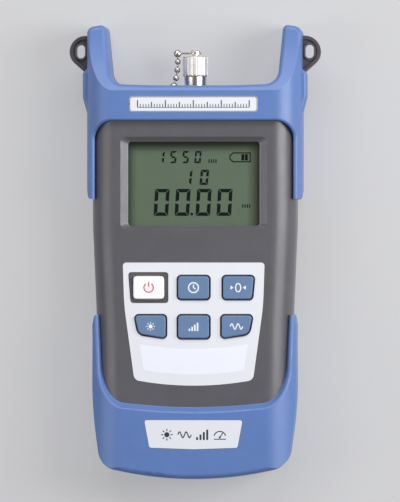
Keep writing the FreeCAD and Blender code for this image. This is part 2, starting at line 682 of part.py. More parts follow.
def front_cover(envelope, room):
    shell = half_shell(envelope, SPLIT_Z, FRONT_Z)
    lip = rim_lip(0)
    shell = fuse([shell, lip])
    shell = cut(shell, [room])
    root_z = INNER_FRONT_Z + MERGE
    bosses = [rod(BOSS_RADIUS, Vec(x, y, SPLIT_Z), Vec(x, y, root_z)) for x, y in boss_places()]
    posts = [rod(POST_RADIUS, Vec(x, y, BOARD_Z), Vec(x, y, root_z)) for x, y in post_places()]
    shell = fuse([shell] + [part.common(envelope) for part in bosses + posts])
    holes = [rod(SCREW_RADIUS, Vec(x, y, SPLIT_Z - PAST), Vec(x, y, SPLIT_Z + SCREW_GRIP + PAST))
             for x, y in boss_places()]
    holes += [rod(BOARD_SCREW_RADIUS, Vec(x, y, BOARD_Z - PAST), Vec(x, y, BOARD_Z + BOARD_SCREW_GRIP + PAST))
              for x, y in post_places()]
    view = prism(view_outline(), INNER_FRONT_Z - PAST, WINDOW_TOP_Z + MERGE)
    seat = prism(window_outline(PLATE_CLEARANCE), INNER_FRONT_Z - PAST, WINDOW_TOP_Z)
    overlay_pocket = prism(overlay_outline(PLATE_CLEARANCE), FRONT_Z - OVERLAY_POCKET, FRONT_Z + PAST)
    key_windows = [prism(key_outline(*place, KEY_CLEARANCE), INNER_FRONT_Z - PAST, FRONT_Z + PAST)
                   for place in KEYS.values()]
    tools = holes + [display_bevel(), view, seat, overlay_pocket, adaptor_hole()] + key_windows
    return cut(shell, tools)


def rear_cover(envelope, room):
    shell = half_shell(envelope, BACK_Z, SPLIT_Z)
    bay_outer = box(-BAY_HALF - BAY_WALL, BAY_HALF + BAY_WALL, BAY_BOTTOM_Y - BAY_WALL,
                    BAY_TOP_Y + BAY_WALL, BACK_Z + SHELL_WALL / 2, BAY_ROOF_Z)
    bosses = [rod(BOSS_RADIUS, Vec(x, y, BACK_Z + MERGE), Vec(x, y, SPLIT_Z)) for x, y in boss_places()]
    groove = rim_lip(RIM_LIP_CLEARANCE).cut(envelope_core())
    shell = cut(shell, [room])
    shell = fuse([shell, bay_outer] + [part.common(envelope) for part in bosses])
    shell = cut(shell, [groove])
    bay = box(-BAY_HALF, BAY_HALF, BAY_BOTTOM_Y, BAY_TOP_Y, BACK_Z - PAST,
              BAY_ROOF_Z - BAY_WALL)
    door_seat = prism(door_outline(DOOR_CLEARANCE), BACK_Z - PAST, DOOR_TOP_Z + STOP_GAP)
    holes = [rod(SCREW_RADIUS + SCREW_CLEARANCE, Vec(x, y, 0), Vec(x, y, SPLIT_Z + PAST))
             for x, y in boss_places()]
    sink_end = screw_head_z() + SCREW_HEAD_HEIGHT
    sinks = [rod(SCREW_HEAD_RADIUS + SINK_CLEARANCE, Vec(x, y, 0), Vec(x, y, sink_end))
             for x, y in boss_places()]
    hooks = [box(x - HOOK_WIDTH / 2 - DOOR_CLEARANCE, x + HOOK_WIDTH / 2 + DOOR_CLEARANCE, BAY_TOP_Y - PAST,
                 DOOR_TOP_Y + DOOR_CLEARANCE, DOOR_TOP_Z, INNER_BACK_Z + 3 * HOOK_THICKNESS)
             for x in hook_places()]
    slots = [box(x - CONTACT_WIDTH / 4, x + CONTACT_WIDTH / 4, y - 2 * CONTACT_THICKNESS,
                 y + 2 * CONTACT_THICKNESS, BAY_ROOF_Z - 2 * BAY_WALL, BAY_ROOF_Z + PAST)
             for x in cell_places() for y in contact_planes()]
    grip_z = BACK_Z + GRIP_DEPTH - GRIP_RADIUS
    grip = rod(GRIP_RADIUS, Vec(0, DOOR_BOTTOM_Y + PAST, grip_z), Vec(0, DOOR_BOTTOM_Y - GRIP_LENGTH, grip_z))
    tools = [bay, door_seat, adaptor_hole(), anchor_hole(), grip] + holes + sinks + hooks + slots
    return cut(shell, tools)


def envelope_core():
    """What the front shell's lip leaves inside: the cavity outline, so that the groove is a narrow ring."""
    wall = -SHELL_WALL
    right = [(HOUSING_HALF + wall, HOUSING_TOP_Y - SHELL_WALL, CAVITY_EDGE)]
    right += side_stations(wall, wall, HOUSING_BOTTOM_Y + SHELL_WALL, HOUSING_CORNER + wall)
    return prism(both_sides(right), BACK_Z, SPLIT_Z + PAST)


def screw_head_z():
    return BACK_Z + SHELL_WALL


def housing_screws():
    screws = []
    length, width = RECESS_LENGTH / 2, RECESS_WIDTH / 2
    head_z = screw_head_z()
    for x, y in boss_places():
        head = rod(SCREW_HEAD_RADIUS, Vec(x, y, head_z), Vec(x, y, head_z + SCREW_HEAD_HEIGHT))
        shank = rod(SCREW_RADIUS, Vec(x, y, head_z + SCREW_HEAD_HEIGHT), Vec(x, y, SPLIT_Z + SCREW_GRIP))
        recess = [box(x - w, x + w, y - h, y + h, head_z - PAST, head_z + SCREW_HEAD_HEIGHT / 2)
                  for w, h in ((length, width), (width, length))]
        screws.append(cut(head.fuse(shank), recess))
    return Part.makeCompound(screws)


# ---- jacket ----

def opening_outline(depth):
    """Front opening of the jacket, square at the band and round in the cup, whose lip slopes in.

    Depth is measured from the jacket's front; the lip has its stated place at the housing's face.
    """
    across = LIP_SLOPE_SIDE * depth / LIP_SLOPE_DEPTH
    along = LIP_SLOPE_FOOT * (depth - BAND_PROUD) / LIP_SLOPE_DEPTH
    upper_half = HOUSING_HALF - LIP_COVER
    waist_half = HOUSING_HALF - WAIST_INSET - CUP_LIP_COVER + LIP_SLOPE_SIDE - across
    tongue_half = waist_half + LIP_WAIST_STEP
    foot_half = waist_half - LIP_SIDE_TAPER
    foot_y = LIP_Y + CUP_LIP_SAG + along
    right = [
        (0, BAND_Y, 0),
        (upper_half, BAND_Y, LIP_CORNER),
        (upper_half, TONGUE_TOP_Y - TONGUE_TURN, 0),
        (tongue_half, TONGUE_BOTTOM_Y + TONGUE_TURN, 0),
        (waist_half, LIP_Y + LIP_TURN_RISE, LIP_TURN_RADIUS),
        (foot_half, foot_y, CUP_LIP_CORNER),
    ]
    return both_sides(right + [bowed_end(foot_half, foot_y, CUP_LIP_SAG, CUP_LIP_SHARE)])


def opening():
    """Tool for the front opening: sloping walls, then straight down into the housing's room."""
    levels = (-PAST, LIP_SLOPE_DEPTH)
    ends = [rounded_face(opening_outline(depth)).OuterWire.translate(Vec(0, 0, JACKET_FRONT_Z - depth))
            for depth in levels]
    slope = Part.makeLoft(ends, True, True)
    return slope.fuse(prism(opening_outline(LIP_SLOPE_DEPTH), SPLIT_Z, JACKET_FRONT_Z - LIP_SLOPE_DEPTH))


def lies_on(edge, faces):
    """Whether the ends and the middle of an edge lie on every one of the shapes."""
    middle = (edge.FirstParameter + edge.LastParameter) / 2
    points = [Part.Vertex(edge.valueAt(at)) for at in (edge.FirstParameter, middle, edge.LastParameter)]
    return all(face.distToShape(point)[0] < EDGE_TOLERANCE for face in faces for point in points)


def side_window():
    """Window in the jacket's right side, from its back panel outwards, between the tongues' tips."""
    panel = HOUSING_HALF - BACK_PANEL_INSET
    upper_tip = JACKET_HALF - TONGUE_TIP_STEP
    lower_outer = HOUSING_HALF - WINDOW_INSET + TONGUE_WALL
    lower_tip = lower_outer - TONGUE_TIP_STEP
    points = [
        (BEYOND, TONGUE_TOP_Y + TONGUE_TIP_RUN, 0), (JACKET_HALF, TONGUE_TOP_Y + TONGUE_TIP_RUN, 0),
        (upper_tip, TONGUE_TOP_Y, TONGUE_TIP_CORNER), (panel, TONGUE_TOP_Y, BACK_PANEL_CORNER),
        (panel, TONGUE_BOTTOM_Y, BACK_PANEL_CORNER), (lower_tip, TONGUE_BOTTOM_Y, TONGUE_TIP_CORNER),
        (lower_outer, TONGUE_BOTTOM_Y - TONGUE_TIP_RUN, 0), (BEYOND, TONGUE_BOTTOM_Y - TONGUE_TIP_RUN, 0),
    ]
    return prism(points, -PAST, JACKET_FRONT_Z + PAST)


def bulge(side):
    """Swelling of the jacket over the foot of a strap lug."""
    top = TIP_Y - LUG_DROP - LUG_LENGTH
    outer = JACKET_HALF + BULGE_PROUD
    inner = JACKET_HALF - JACKET_WALL / 2
    end = top - (1 + BULGE_RUN_OUT) * BULGE_LENGTH
    points = [
        (inner, top + BULGE_STEP, 0), (JACKET_HALF, top + BULGE_STEP, 0), (outer, top, BULGE_RADIUS),
        (outer, top - (1 - BULGE_RUN_OUT) * BULGE_LENGTH, 2 * BULGE_RADIUS), (JACKET_HALF, end, 0),
        (inner, end, 0),
    ]
    reach = LUG_FOOT_WIDTH / 2 + JACKET_WALL
    solid = prism(points, SPLIT_Z - reach, SPLIT_Z + reach)
    solid = round_edges(solid, BULGE_EDGE, lambda e: e.BoundBox.XMin > (inner + JACKET_HALF) / 2
                        and (lies_at(e, SPLIT_Z - reach) or lies_at(e, SPLIT_Z + reach)))
    return solid if side > 0 else mirrored(solid)


def horn_block():
    """Block with the jacket's outline and facet, its edges eased round the horns and along the back."""
    outline = horn_outline(0, TOP_EDGE_RISE, JACKET_WALL, TONGUE_WALL, BOTTOM_Y, CUP_CORNER)
    block = prism(outline, 0, JACKET_FRONT_Z).cut(facet_cutter(0))

    def on_horns(edge):
        bounds = edge.BoundBox
        upright = bounds.XLength + bounds.YLength < EDGE_TOLERANCE
        return not upright and bounds.ZMin > SPLIT_Z and bounds.YMax > UPPER_Y - MERGE

    block = round_edges(block, REAR_EDGE, lambda e: lies_at(e, 0))
    return round_edges(block, HORN_EDGE, on_horns)


def side_rounding(radius, low, high):
    """Run along the meter, as wide as the jacket, with that rounding along both sides of its front."""
    points = [(JACKET_HALF, JACKET_FRONT_Z, radius), (JACKET_HALF, -PAST, 0), (-JACKET_HALF, -PAST, 0),
              (-JACKET_HALF, JACKET_FRONT_Z, radius)]
    return prism_along_y(points, low, high)


def jacket_body():
    """Outer form: rounded along its sides, more so at the cup than at the band, with an eased outline."""
    middle = (TONGUE_TOP_Y + TONGUE_BOTTOM_Y) / 2
    block = pillow(JACKET_WALL, TONGUE_WALL, BOTTOM_Y, CUP_CORNER, 0, JACKET_FRONT_Z, FRONT_EDGE)
    upper = block.common(side_rounding(BAND_ROUNDING, middle, TIP_Y + PAST))
    lower = block.common(side_rounding(CUP_ROUNDING, BOTTOM_Y - PAST, middle))
    return upper.fuse(lower).common(horn_block())


def plate_pocket(outline):
    return prism(outline, JACKET_FRONT_Z - PLATE_POCKET, JACKET_FRONT_Z + PAST)


def rubber_jacket(envelope, lugs):
    body = fuse([jacket_body(), bulge(1), bulge(-1)])
    back_window = prism(door_outline(BACK_WINDOW_MARGIN), -PAST, BACK_Z + PAST)
    slot = prism_along_y(rectangle(0, SPLIT_Z, TOP_SLOT_WIDTH, TOP_SLOT_HEIGHT, TOP_SLOT_CORNER),
                         HOUSING_TOP_Y - PAST, UPPER_Y + PAST)
    windows = [side_window(), mirrored(side_window())]
    lip = [body.Shells[0], opening().Shells[0]]
    body = cut(body, [opening()] + windows)
    body = round_edges(body, LIP_EDGE, lambda e: e.BoundBox.ZMin > SPLIT_Z and lies_on(e, lip))
    body = cut(body, [back_window, slot, envelope])
    pockets = [plate_pocket(outline(PLATE_CLEARANCE)) for outline in (title_outline, foot_plate_outline)]
    return cut(body, lugs + pockets)


def title_outline(growth):
    return rectangle(0, UPPER_Y - TITLE_DROP, TITLE_WIDTH + 2 * growth, TITLE_HEIGHT + 2 * growth,
                     TITLE_CORNER + growth)


def foot_plate_outline(growth):
    y = BOTTOM_Y + FOOT_PLATE_RISE
    h = FOOT_PLATE_HEIGHT / 2 + growth
    right = [
        (FOOT_PLATE_TOP / 2 + growth, y + h, FOOT_PLATE_CORNER),
        (FOOT_PLATE_BOTTOM / 2 + growth, y - h + FOOT_PLATE_SAG, FOOT_PLATE_CORNER),
        (0, y - h, 0),
    ]
    return both_sides(right)


def plate(outline):
    low = JACKET_FRONT_Z - PLATE_POCKET
    return prism(outline, low, low + PLATE_THICKNESS)


# ---- display stack ----

def window_outline(growth):
    edge = 2 * (WINDOW_SEAT + growth)
    return rectangle(0, VIEW_Y, VIEW_WIDTH + edge, VIEW_HEIGHT + edge, VIEW_CORNER + growth)


def display_window():
    return prism(window_outline(0), WINDOW_TOP_Z - WINDOW_THICKNESS, WINDOW_TOP_Z)


def display_cell():
    """Two glass plates of the display; the rear one stands out at the lower edge."""
    width, height = VIEW_WIDTH + 2 * GLASS_RIM, VIEW_HEIGHT + 2 * GLASS_RIM
    middle = (GLASS_TOP_Z + GLASS_BOTTOM_Z) / 2
    front = box(-width / 2, width / 2, VIEW_Y - height / 2 + STRIP_THICKNESS, VIEW_Y + height / 2, middle,
                GLASS_TOP_Z)
    rear = box(-width / 2, width / 2, VIEW_Y - height / 2, VIEW_Y + height / 2, GLASS_BOTTOM_Z, middle)
    return fuse([front, rear])


def display_light():
    """Light box between the glass and the board, open towards the glass."""
    width = VIEW_WIDTH + 2 * GLASS_RIM
    height = VIEW_HEIGHT + 2 * GLASS_RIM - 2 * (STRIP_THICKNESS + STOP_GAP)
    outer = box(-width / 2, width / 2, VIEW_Y - height / 2, VIEW_Y + height / 2, BOARD_Z, GLASS_BOTTOM_Z)
    w, h = width / 2 - LIGHT_WALL, height / 2 - LIGHT_WALL
    return cut(outer, [box(-w, w, VIEW_Y - h, VIEW_Y + h, BOARD_Z + LIGHT_WALL, GLASS_BOTTOM_Z + PAST)])


def display_strips():
    """Contact strips that carry the glass at its long edges."""
    width = VIEW_WIDTH / 2
    edge = VIEW_HEIGHT / 2 + GLASS_RIM
    strips = [box(-width, width, VIEW_Y + side * edge - (STRIP_THICKNESS if side > 0 else 0),
                  VIEW_Y + side * edge + (0 if side > 0 else STRIP_THICKNESS), BOARD_Z, GLASS_BOTTOM_Z)
              for side in (-1, 1)]
    return Part.makeCompound(strips)


# ---- keypad ----

def keypad_overlay():
    low = FRONT_Z - OVERLAY_POCKET
    sheet = prism(overlay_outline(0), low, low + OVERLAY_THICKNESS)
    outlines = [key_outline(*place, PLATE_WINDOW_MARGIN) for name, place in KEYS.items()
                if name != "key_power"]
    outlines.append(power_window_outline())
    return cut(sheet, [prism(outline, low - PAST, FRONT_Z + PAST) for outline in outlines])


def power_window_outline():
    """Wider window round the power key, its left side parallel to the plate's."""
    x, y = key_centre(0, 0)
    w, h = KEY_WIDTH / 2 + POWER_WINDOW_MARGIN, KEY_HEIGHT / 2 + POWER_WINDOW_MARGIN
    return [(x + w, y + h, KEY_CORNER), (x + w, y - h, KEY_CORNER),
            (x - w + POWER_WINDOW_LEAN, y - h, KEY_CORNER), (x - w - POWER_WINDOW_LEAN, y + h, KEY_CORNER)]


def key(column, row):
    """Key with a cap, a flange that holds it under the front shell, and a stem with the contact pill."""
    x, y = key_centre(column, row)
    top = FRONT_Z + KEY_PROUD
    flange_top = INNER_FRONT_Z - STOP_GAP
    cap = prism(key_outline(column, row, 0), flange_top - FLANGE_THICKNESS, top)
    cap = round_edges(cap, KEY_EDGE, lambda e: lies_at(e, top))
    flange = prism(key_outline(column, row, FLANGE_RIM), flange_top - FLANGE_THICKNESS, flange_top)
    stem_end = BOARD_Z + KEY_TRAVEL + STOP_GAP
    stem = rod(KEY_STEM_RADIUS, Vec(x, y, stem_end), Vec(x, y, flange_top))
    return fuse([cap, flange, stem])


def keypad_mat():
    """Silicone mat on the board, with a collar under each key that stops its flange."""
    xs = [key_centre(*place)[0] for place in KEYS.values()]
    ys = [key_centre(*place)[1] for place in KEYS.values()]
    low = min(ys) - KEY_HEIGHT / 2 - MAT_MARGIN
    high = max(ys) + KEY_HEIGHT / 2 + MAT_MARGIN
    half = max(xs) + KEY_WIDTH / 2 + MAT_MARGIN / 4
    sheet_outline = rectangle(0, (low + high) / 2, 2 * half, high - low, BOARD_CORNER)
    sheet = prism(sheet_outline, BOARD_Z, BOARD_Z + MAT_THICKNESS)
    inner = KEY_STEM_RADIUS + COLLAR_CLEARANCE
    collar_top = INNER_FRONT_Z - FLANGE_THICKNESS - KEY_TRAVEL - 2 * STOP_GAP
    collars = []
    holes = []
    for place in KEYS.values():
        x, y = key_centre(*place)
        collars.append(rod(inner + COLLAR_WALL, Vec(x, y, BOARD_Z), Vec(x, y, collar_top)))
        holes.append(rod(inner, Vec(x, y, BOARD_Z - PAST), Vec(x, y, collar_top + PAST)))
    return cut(fuse([sheet] + collars), holes)


# ---- board, cells and door ----

def main_board():
    """Board between the shells, with a neck that takes the detector's legs."""
    half = HOUSING_HALF - SHELL_WALL - BOARD_CLEARANCE
    levels = [y for _, y in post_places()]
    shoulder = max(levels) + BOARD_EDGE
    right = [
        (BOARD_NECK, leg_level() + BOARD_NECK_EDGE, BOARD_CORNER), (BOARD_NECK, shoulder, BOARD_CORNER),
        (half, shoulder, BOARD_CORNER), (half, min(levels) - BOARD_EDGE, BOARD_CORNER),
    ]
    board = prism(both_sides(right), BOARD_BOTTOM_Z, BOARD_Z)
    holes = [rod(BOARD_SCREW_RADIUS + SCREW_CLEARANCE, Vec(x, y, 0), Vec(x, y, FRONT_Z))
             for x, y in post_places()]
    return cut(board, holes + leg_holes())


def board_screws():
    screws = []
    for x, y in post_places():
        seat = Vec(x, y, BOARD_BOTTOM_Z)
        head = rod(BOARD_SCREW_HEAD, seat - Vec(0, 0, BOARD_SCREW_HEAD_HEIGHT), seat)
        shank = rod(BOARD_SCREW_RADIUS, seat, Vec(x, y, BOARD_Z + BOARD_SCREW_GRIP))
        screws.append(head.fuse(shank))
    return Part.makeCompound(screws)


def cell(index):
    """AA cell; neighbours point opposite ways."""
    x = cell_places()[index]
    low = BAY_BOTTOM_Y + CONTACT_SPACE
    end = low + CELL_LENGTH
    shoulder = end - CELL_CAP_LENGTH
    face = CELL_RADIUS - CELL_EDGE
    profile = [(0, low), (face, low), (CELL_RADIUS, low + CELL_EDGE), (CELL_RADIUS, shoulder - CELL_EDGE),
               (face, shoulder), (CELL_CAP_RADIUS, shoulder), (CELL_CAP_RADIUS, end), (0, end)]
    solid = turned(profile, x, CELL_Z)
    if points_down(index):
        solid.rotate(Vec(x, (BAY_TOP_Y + BAY_BOTTOM_Y) / 2, CELL_Z), Vec(0, 0, 1), 180)
    return solid


def points_down(index):
    return index % 2 == 1


def contact_planes():
    return BAY_TOP_Y - CONTACT_THICKNESS, BAY_BOTTOM_Y + CONTACT_THICKNESS


def battery_contacts():
    """Flat strips at both ends of the bay, each with a bent leaf that bears on the cell."""
    contacts = []
    for end, y in zip((1, -1), contact_planes()):
        wall = y + end * CONTACT_THICKNESS
        near, far = sorted((wall, y))
        for index, x in enumerate(cell_places()):
            strip = box(x - CONTACT_WIDTH / 2, x + CONTACT_WIDTH / 2, near, far,
                        CELL_Z - LEAF_HALF - LEAF_NOSE, BAY_ROOF_Z - BAY_WALL)
            tail = box(x - CONTACT_WIDTH / 5, x + CONTACT_WIDTH / 5, near, far, BAY_ROOF_Z - 2 * BAY_WALL,
                       BOARD_BOTTOM_Z)
            contacts.append(fuse([strip, tail, contact_leaf(x, wall, end, leaf_reach(index, end))]))
    return Part.makeCompound(contacts)


def leaf_reach(index, end):
    """From the bay's end wall to the cell; the way is longer at the cell's cap."""
    cap_end = -1 if points_down(index) else 1
    return CONTACT_SPACE + (CELL_CAP_LENGTH if end == cap_end else 0)


def contact_leaf(x, wall, end, reach):
    """Folded strip: two straight runs that meet in a flat nose just short of the cell."""
    thickness = CONTACT_THICKNESS
    foot = wall - end * thickness / 2
    nose = wall - end * (reach - STOP_GAP)
    under = nose + end * thickness
    inner_half, inner_nose = LEAF_HALF - 2 * thickness, LEAF_NOSE - thickness / 2
    points = [(foot, CELL_Z - LEAF_HALF, 0), (nose, CELL_Z - LEAF_NOSE, 0), (nose, CELL_Z + LEAF_NOSE, 0),
              (foot, CELL_Z + LEAF_HALF, 0), (foot, CELL_Z + inner_half, 0), (under, CELL_Z + inner_nose, 0),
              (under, CELL_Z - inner_nose, 0), (foot, CELL_Z - inner_half, 0)]
    return prism_along_x(points, x - CONTACT_WIDTH / 4, x + CONTACT_WIDTH / 4)


def door_outline(growth):
    y = (DOOR_TOP_Y + DOOR_BOTTOM_Y) / 2
    width = 2 * (BAY_HALF + DOOR_LEDGE + growth)
    return rectangle(0, y, width, DOOR_TOP_Y - DOOR_BOTTOM_Y + 2 * growth, DOOR_CORNER + growth)


def hook_places():
    pitch = 2 * CELL_RADIUS + CELL_GAP / 2
    return [-pitch / 2, pitch / 2]


def groove_outline(step):
    y = DOOR_BOTTOM_Y + GROOVE_INSET + GROOVE_PITCH * step
    w, h = (GROOVE_LENGTH - GROOVE_STEP * step) / 2, GROOVE_WIDTH / 2
    return [(w, y + h, 0), (w, y - h, 0), (-w, y - h, 0), (-w, y + h, 0)]


def battery_door():
    """Door with two hooks under the bay's upper edge, cradle ribs and a grooved thumb rest."""
    panel = prism(door_outline(0), BACK_Z, DOOR_TOP_Z)
    hook_low = INNER_BACK_Z + STOP_GAP
    hooks = []
    for x in hook_places():
        side = (x - HOOK_WIDTH / 2, x + HOOK_WIDTH / 2)
        hooks.append(box(*side, BAY_TOP_Y - HOOK_REACH, BAY_TOP_Y - 2 * STOP_GAP, DOOR_TOP_Z - MERGE,
                         hook_low + HOOK_THICKNESS))
        hooks.append(box(*side, BAY_TOP_Y - HOOK_REACH, DOOR_TOP_Y + HOOK_REACH, hook_low,
                         hook_low + HOOK_THICKNESS))
    ribs = [box(x - RIB_WIDTH / 2, x + RIB_WIDTH / 2, BAY_BOTTOM_Y + RIB_END, BAY_TOP_Y - RIB_END,
                DOOR_TOP_Z - MERGE, CELL_Z - CELL_RADIUS + RIB_RISE) for x in hook_places()]
    grooves = [prism(groove_outline(step), BACK_Z - PAST, BACK_Z + GROOVE_DEPTH)
               for step in range(GROOVE_COUNT)]
    return cut(fuse([panel] + hooks + ribs), grooves)


# ---- fibre adaptor and detector ----

def fibre_adaptor():
    """Threaded barrel through the top wall; its bore ends at the detector, seated from behind."""
    inner_y = HOUSING_TOP_Y - SHELL_WALL
    shoulder = HOUSING_TOP_Y + BARREL_REACH
    tip = shoulder + THREAD_LENGTH
    rear = inner_y - ADAPTOR_FLANGE_THICKNESS
    profile = [(0, rear), (ADAPTOR_FLANGE_RADIUS, rear), (ADAPTOR_FLANGE_RADIUS, inner_y),
               (BARREL_RADIUS, inner_y), (BARREL_RADIUS, shoulder), (THREAD_RADIUS, shoulder),
               (THREAD_RADIUS, tip - THREAD_CHAMFER), (THREAD_RADIUS - THREAD_CHAMFER, tip), (0, tip)]
    body = turned(profile, 0, SPLIT_Z)
    bore = rod(FERRULE_RADIUS, Vec(0, rear, SPLIT_Z), Vec(0, tip + PAST, SPLIT_Z))
    seat = rod(CAN_RADIUS + 2 * CAP_CLEARANCE, Vec(0, rear - PAST, SPLIT_Z), Vec(0, can_front(), SPLIT_Z))
    return cut(body, [bore, seat])


def can_front():
    """Front face of the detector's can, inside the adaptor's rear seat."""
    return HOUSING_TOP_Y - SHELL_WALL - ADAPTOR_FLANGE_THICKNESS + CAN_LENGTH - CAN_FLANGE_THICKNESS


def photodetector():
    front = can_front() - STOP_GAP
    rear = front - CAN_LENGTH
    step = rear + CAN_FLANGE_THICKNESS - STOP_GAP
    profile = [(0, rear), (CAN_FLANGE_RADIUS, rear), (CAN_FLANGE_RADIUS, step), (CAN_RADIUS, step),
               (CAN_RADIUS, front), (0, front)]
    legs = []
    for x in leg_places():
        bend = rear - LEG_RUN
        run = rod(LEG_RADIUS, Vec(x, step, SPLIT_Z), Vec(x, bend, SPLIT_Z))
        rise = rod(LEG_RADIUS, Vec(x, bend, SPLIT_Z), Vec(x, bend, BOARD_Z + BOARD_THICKNESS / 3))
        knee = Part.makeSphere(LEG_RADIUS, Vec(x, bend, SPLIT_Z))
        legs += [run, rise, knee]
    return fuse([turned(profile, 0, SPLIT_Z)] + legs)


def leg_places():
    return [-LEG_PITCH, 0, LEG_PITCH]


def leg_level():
    return can_front() - STOP_GAP - CAN_LENGTH - LEG_RUN


def leg_holes():
    y = leg_level()
    return [rod(LEG_RADIUS + STOP_GAP, Vec(x, y, 0), Vec(x, y, FRONT_Z)) for x in leg_places()]


def adaptor_nut():
    corner = NUT_FLATS / 2 / math.cos(math.pi / 6)
    turns = [math.radians(60 * i + 30) for i in range(6)]
    points = [(corner * math.cos(turn), SPLIT_Z + corner * math.sin(turn), NUT_CORNER) for turn in turns]
    nut = prism_along_y(points, HOUSING_TOP_Y, HOUSING_TOP_Y + NUT_THICKNESS)
    hole = rod(BARREL_RADIUS, Vec(0, HOUSING_TOP_Y - PAST, SPLIT_Z), Vec(0, UPPER_Y + BEYOND, SPLIT_Z))
    return cut(nut, [hole])


# ---- dust cap and chain ----

def dust_cap():
    """Turned cap with rounded ends, straight flutes and a blind bore over the thread."""
    blank = rod(CAP_RADIUS, Vec(0, CAP_Y, SPLIT_Z), Vec(0, CAP_TOP_Y, SPLIT_Z))
    blank = round_edges(blank, CAP_EDGE, lambda e: e.BoundBox.YLength < 1e-6)
    bore = rod(THREAD_RADIUS + CAP_CLEARANCE, Vec(0, CAP_Y - PAST, SPLIT_Z),
               Vec(0, CAP_Y + THREAD_LENGTH + 2 * CAP_SEAT_GAP, SPLIT_Z))
    flutes = []
    for i in range(CAP_FLUTE_COUNT):
        turn = 2 * math.pi * i / CAP_FLUTE_COUNT
        x = (CAP_RADIUS + FLUTE_RADIUS / 2) * math.cos(turn)
        z = SPLIT_Z + (CAP_RADIUS + FLUTE_RADIUS / 2) * math.sin(turn)
        flutes.append(rod(FLUTE_RADIUS, Vec(x, CAP_Y - PAST, z), Vec(x, CAP_TOP_Y + PAST, z)))
    return cut(blank, [bore] + flutes)


def cap_rivet():
    """Post and domed head that hold the swivel tab on the cap."""
    neck = CAP_TOP_Y + RIVET_POST_LENGTH
    post = rod(RIVET_POST_RADIUS, Vec(0, CAP_TOP_Y, SPLIT_Z), Vec(0, neck + RIVET_HEAD_HEIGHT / 2, SPLIT_Z))
    head = rod(RIVET_HEAD_RADIUS, Vec(0, neck, SPLIT_Z), Vec(0, neck + RIVET_HEAD_HEIGHT, SPLIT_Z))
    head = round_edges(head, RIVET_HEAD_HEIGHT / 2, lambda e: e.BoundBox.YMin > neck + RIVET_HEAD_HEIGHT / 2
                       and e.BoundBox.YLength < 1e-6)
    return fuse([post, head])


def tab_clasp():
    return Vec(-TAB_REACH, TAB_Y + TAB_THICKNESS / 2, SPLIT_Z)


def anchor_clasp():
    return Vec(ANCHOR_X, HOUSING_TOP_Y + ANCHOR_RISE, SPLIT_Z - ANCHOR_DEPTH)


def anchor_ring_centre():
    clasp = anchor_clasp()
    return clasp.x - ANCHOR_ACROSS, HOUSING_TOP_Y, clasp.z - ANCHOR_FALL


def bead_places():
    """Bead centres from the cap's clasp to the housing's, in a slack bow."""
    start, end = tab_clasp(), anchor_clasp()
    spans = FREE_BEAD_COUNT + 1
    places = []
    for i in range(spans + 1):
        t = i / spans
        slack = 4 * t * (1 - t)
        places.append(start + (end - start) * t + Vec(CHAIN_BOW, 0, -CHAIN_SAG) * slack)
    return places


def swivel_tab(ring, hole_radius, clasp, towards):
    """Flat ring, arm and hollow ball clasp; towards is the point that the chain leaves for."""
    low = ring.y
    disc = rod(hole_radius + TAB_RIM, ring, ring + Vec(0, TAB_THICKNESS, 0))
    across = Vec(clasp.x - ring.x, 0, clasp.z - ring.z)
    angle = math.degrees(math.atan2(across.z, across.x))
    arm = Part.makeBox(across.Length, TAB_THICKNESS, TAB_WIDTH, Vec(0, 0, -TAB_WIDTH / 2))
    arm.rotate(Vec(0, 0, 0), Vec(0, 1, 0), -angle)
    arm.translate(Vec(ring.x, low, ring.z))
    ball = Part.makeSphere(CLASP_RADIUS, clasp)
    hollow = Part.makeSphere(CLASP_RADIUS - CLASP_WALL, clasp)
    hole = rod(hole_radius, ring - Vec(0, PAST, 0), ring + Vec(0, TAB_THICKNESS + PAST, 0))
    mouth = rod(CLASP_MOUTH, clasp, clasp + (towards - clasp).normalize() * 2 * CLASP_RADIUS)
    solid = fuse([disc, arm, ball])
    return cut(solid, [hollow, hole, mouth])


def chain_tab():
    ring = Vec(0, TAB_Y, SPLIT_Z)
    return swivel_tab(ring, RIVET_POST_RADIUS + TAB_CLEARANCE, tab_clasp(), bead_places()[1])


def anchor_tab():
    ring = Vec(*anchor_ring_centre())
    clasp = anchor_clasp()
    tab = swivel_tab(ring, ANCHOR_SCREW_RADIUS + TAB_CLEARANCE, clasp, bead_places()[-2])
    foot = Vec(clasp.x, HOUSING_TOP_Y, clasp.z)
    leg = rod(TAB_WIDTH / 2, foot, clasp - Vec(0, CLASP_RADIUS - CLASP_WALL / 2, 0))
    return fuse([tab, leg])


def anchor_screw():
    ring = Vec(*anchor_ring_centre())
    seat = ring + Vec(0, TAB_THICKNESS, 0)
    shank = rod(ANCHOR_SCREW_RADIUS, ring - Vec(0, SHELL_WALL, 0), seat)
    head = rod(ANCHOR_SCREW_HEAD, seat, seat + Vec(0, ANCHOR_SCREW_HEIGHT, 0))
    head = round_edges(head, ANCHOR_SCREW_EDGE, lambda e: e.BoundBox.YMin > seat.y + ANCHOR_SCREW_HEIGHT / 2
                       and e.BoundBox.YLength < 1e-6)
    return fuse([shank, head])


def bead_chain():
    """Ball chain: beads on thin links, its end beads inside the two clasps."""
    places = bead_places()
    parts = []
    for i, place in enumerate(places):
        inside = i in (0, len(places) - 1)
        parts.append(Part.makeSphere(END_BEAD_RADIUS if inside else BEAD_RADIUS, place))
    parts += [rod(LINK_RADIUS, start, end) for start, end in zip(places, places[1:])]
    return fuse(parts)


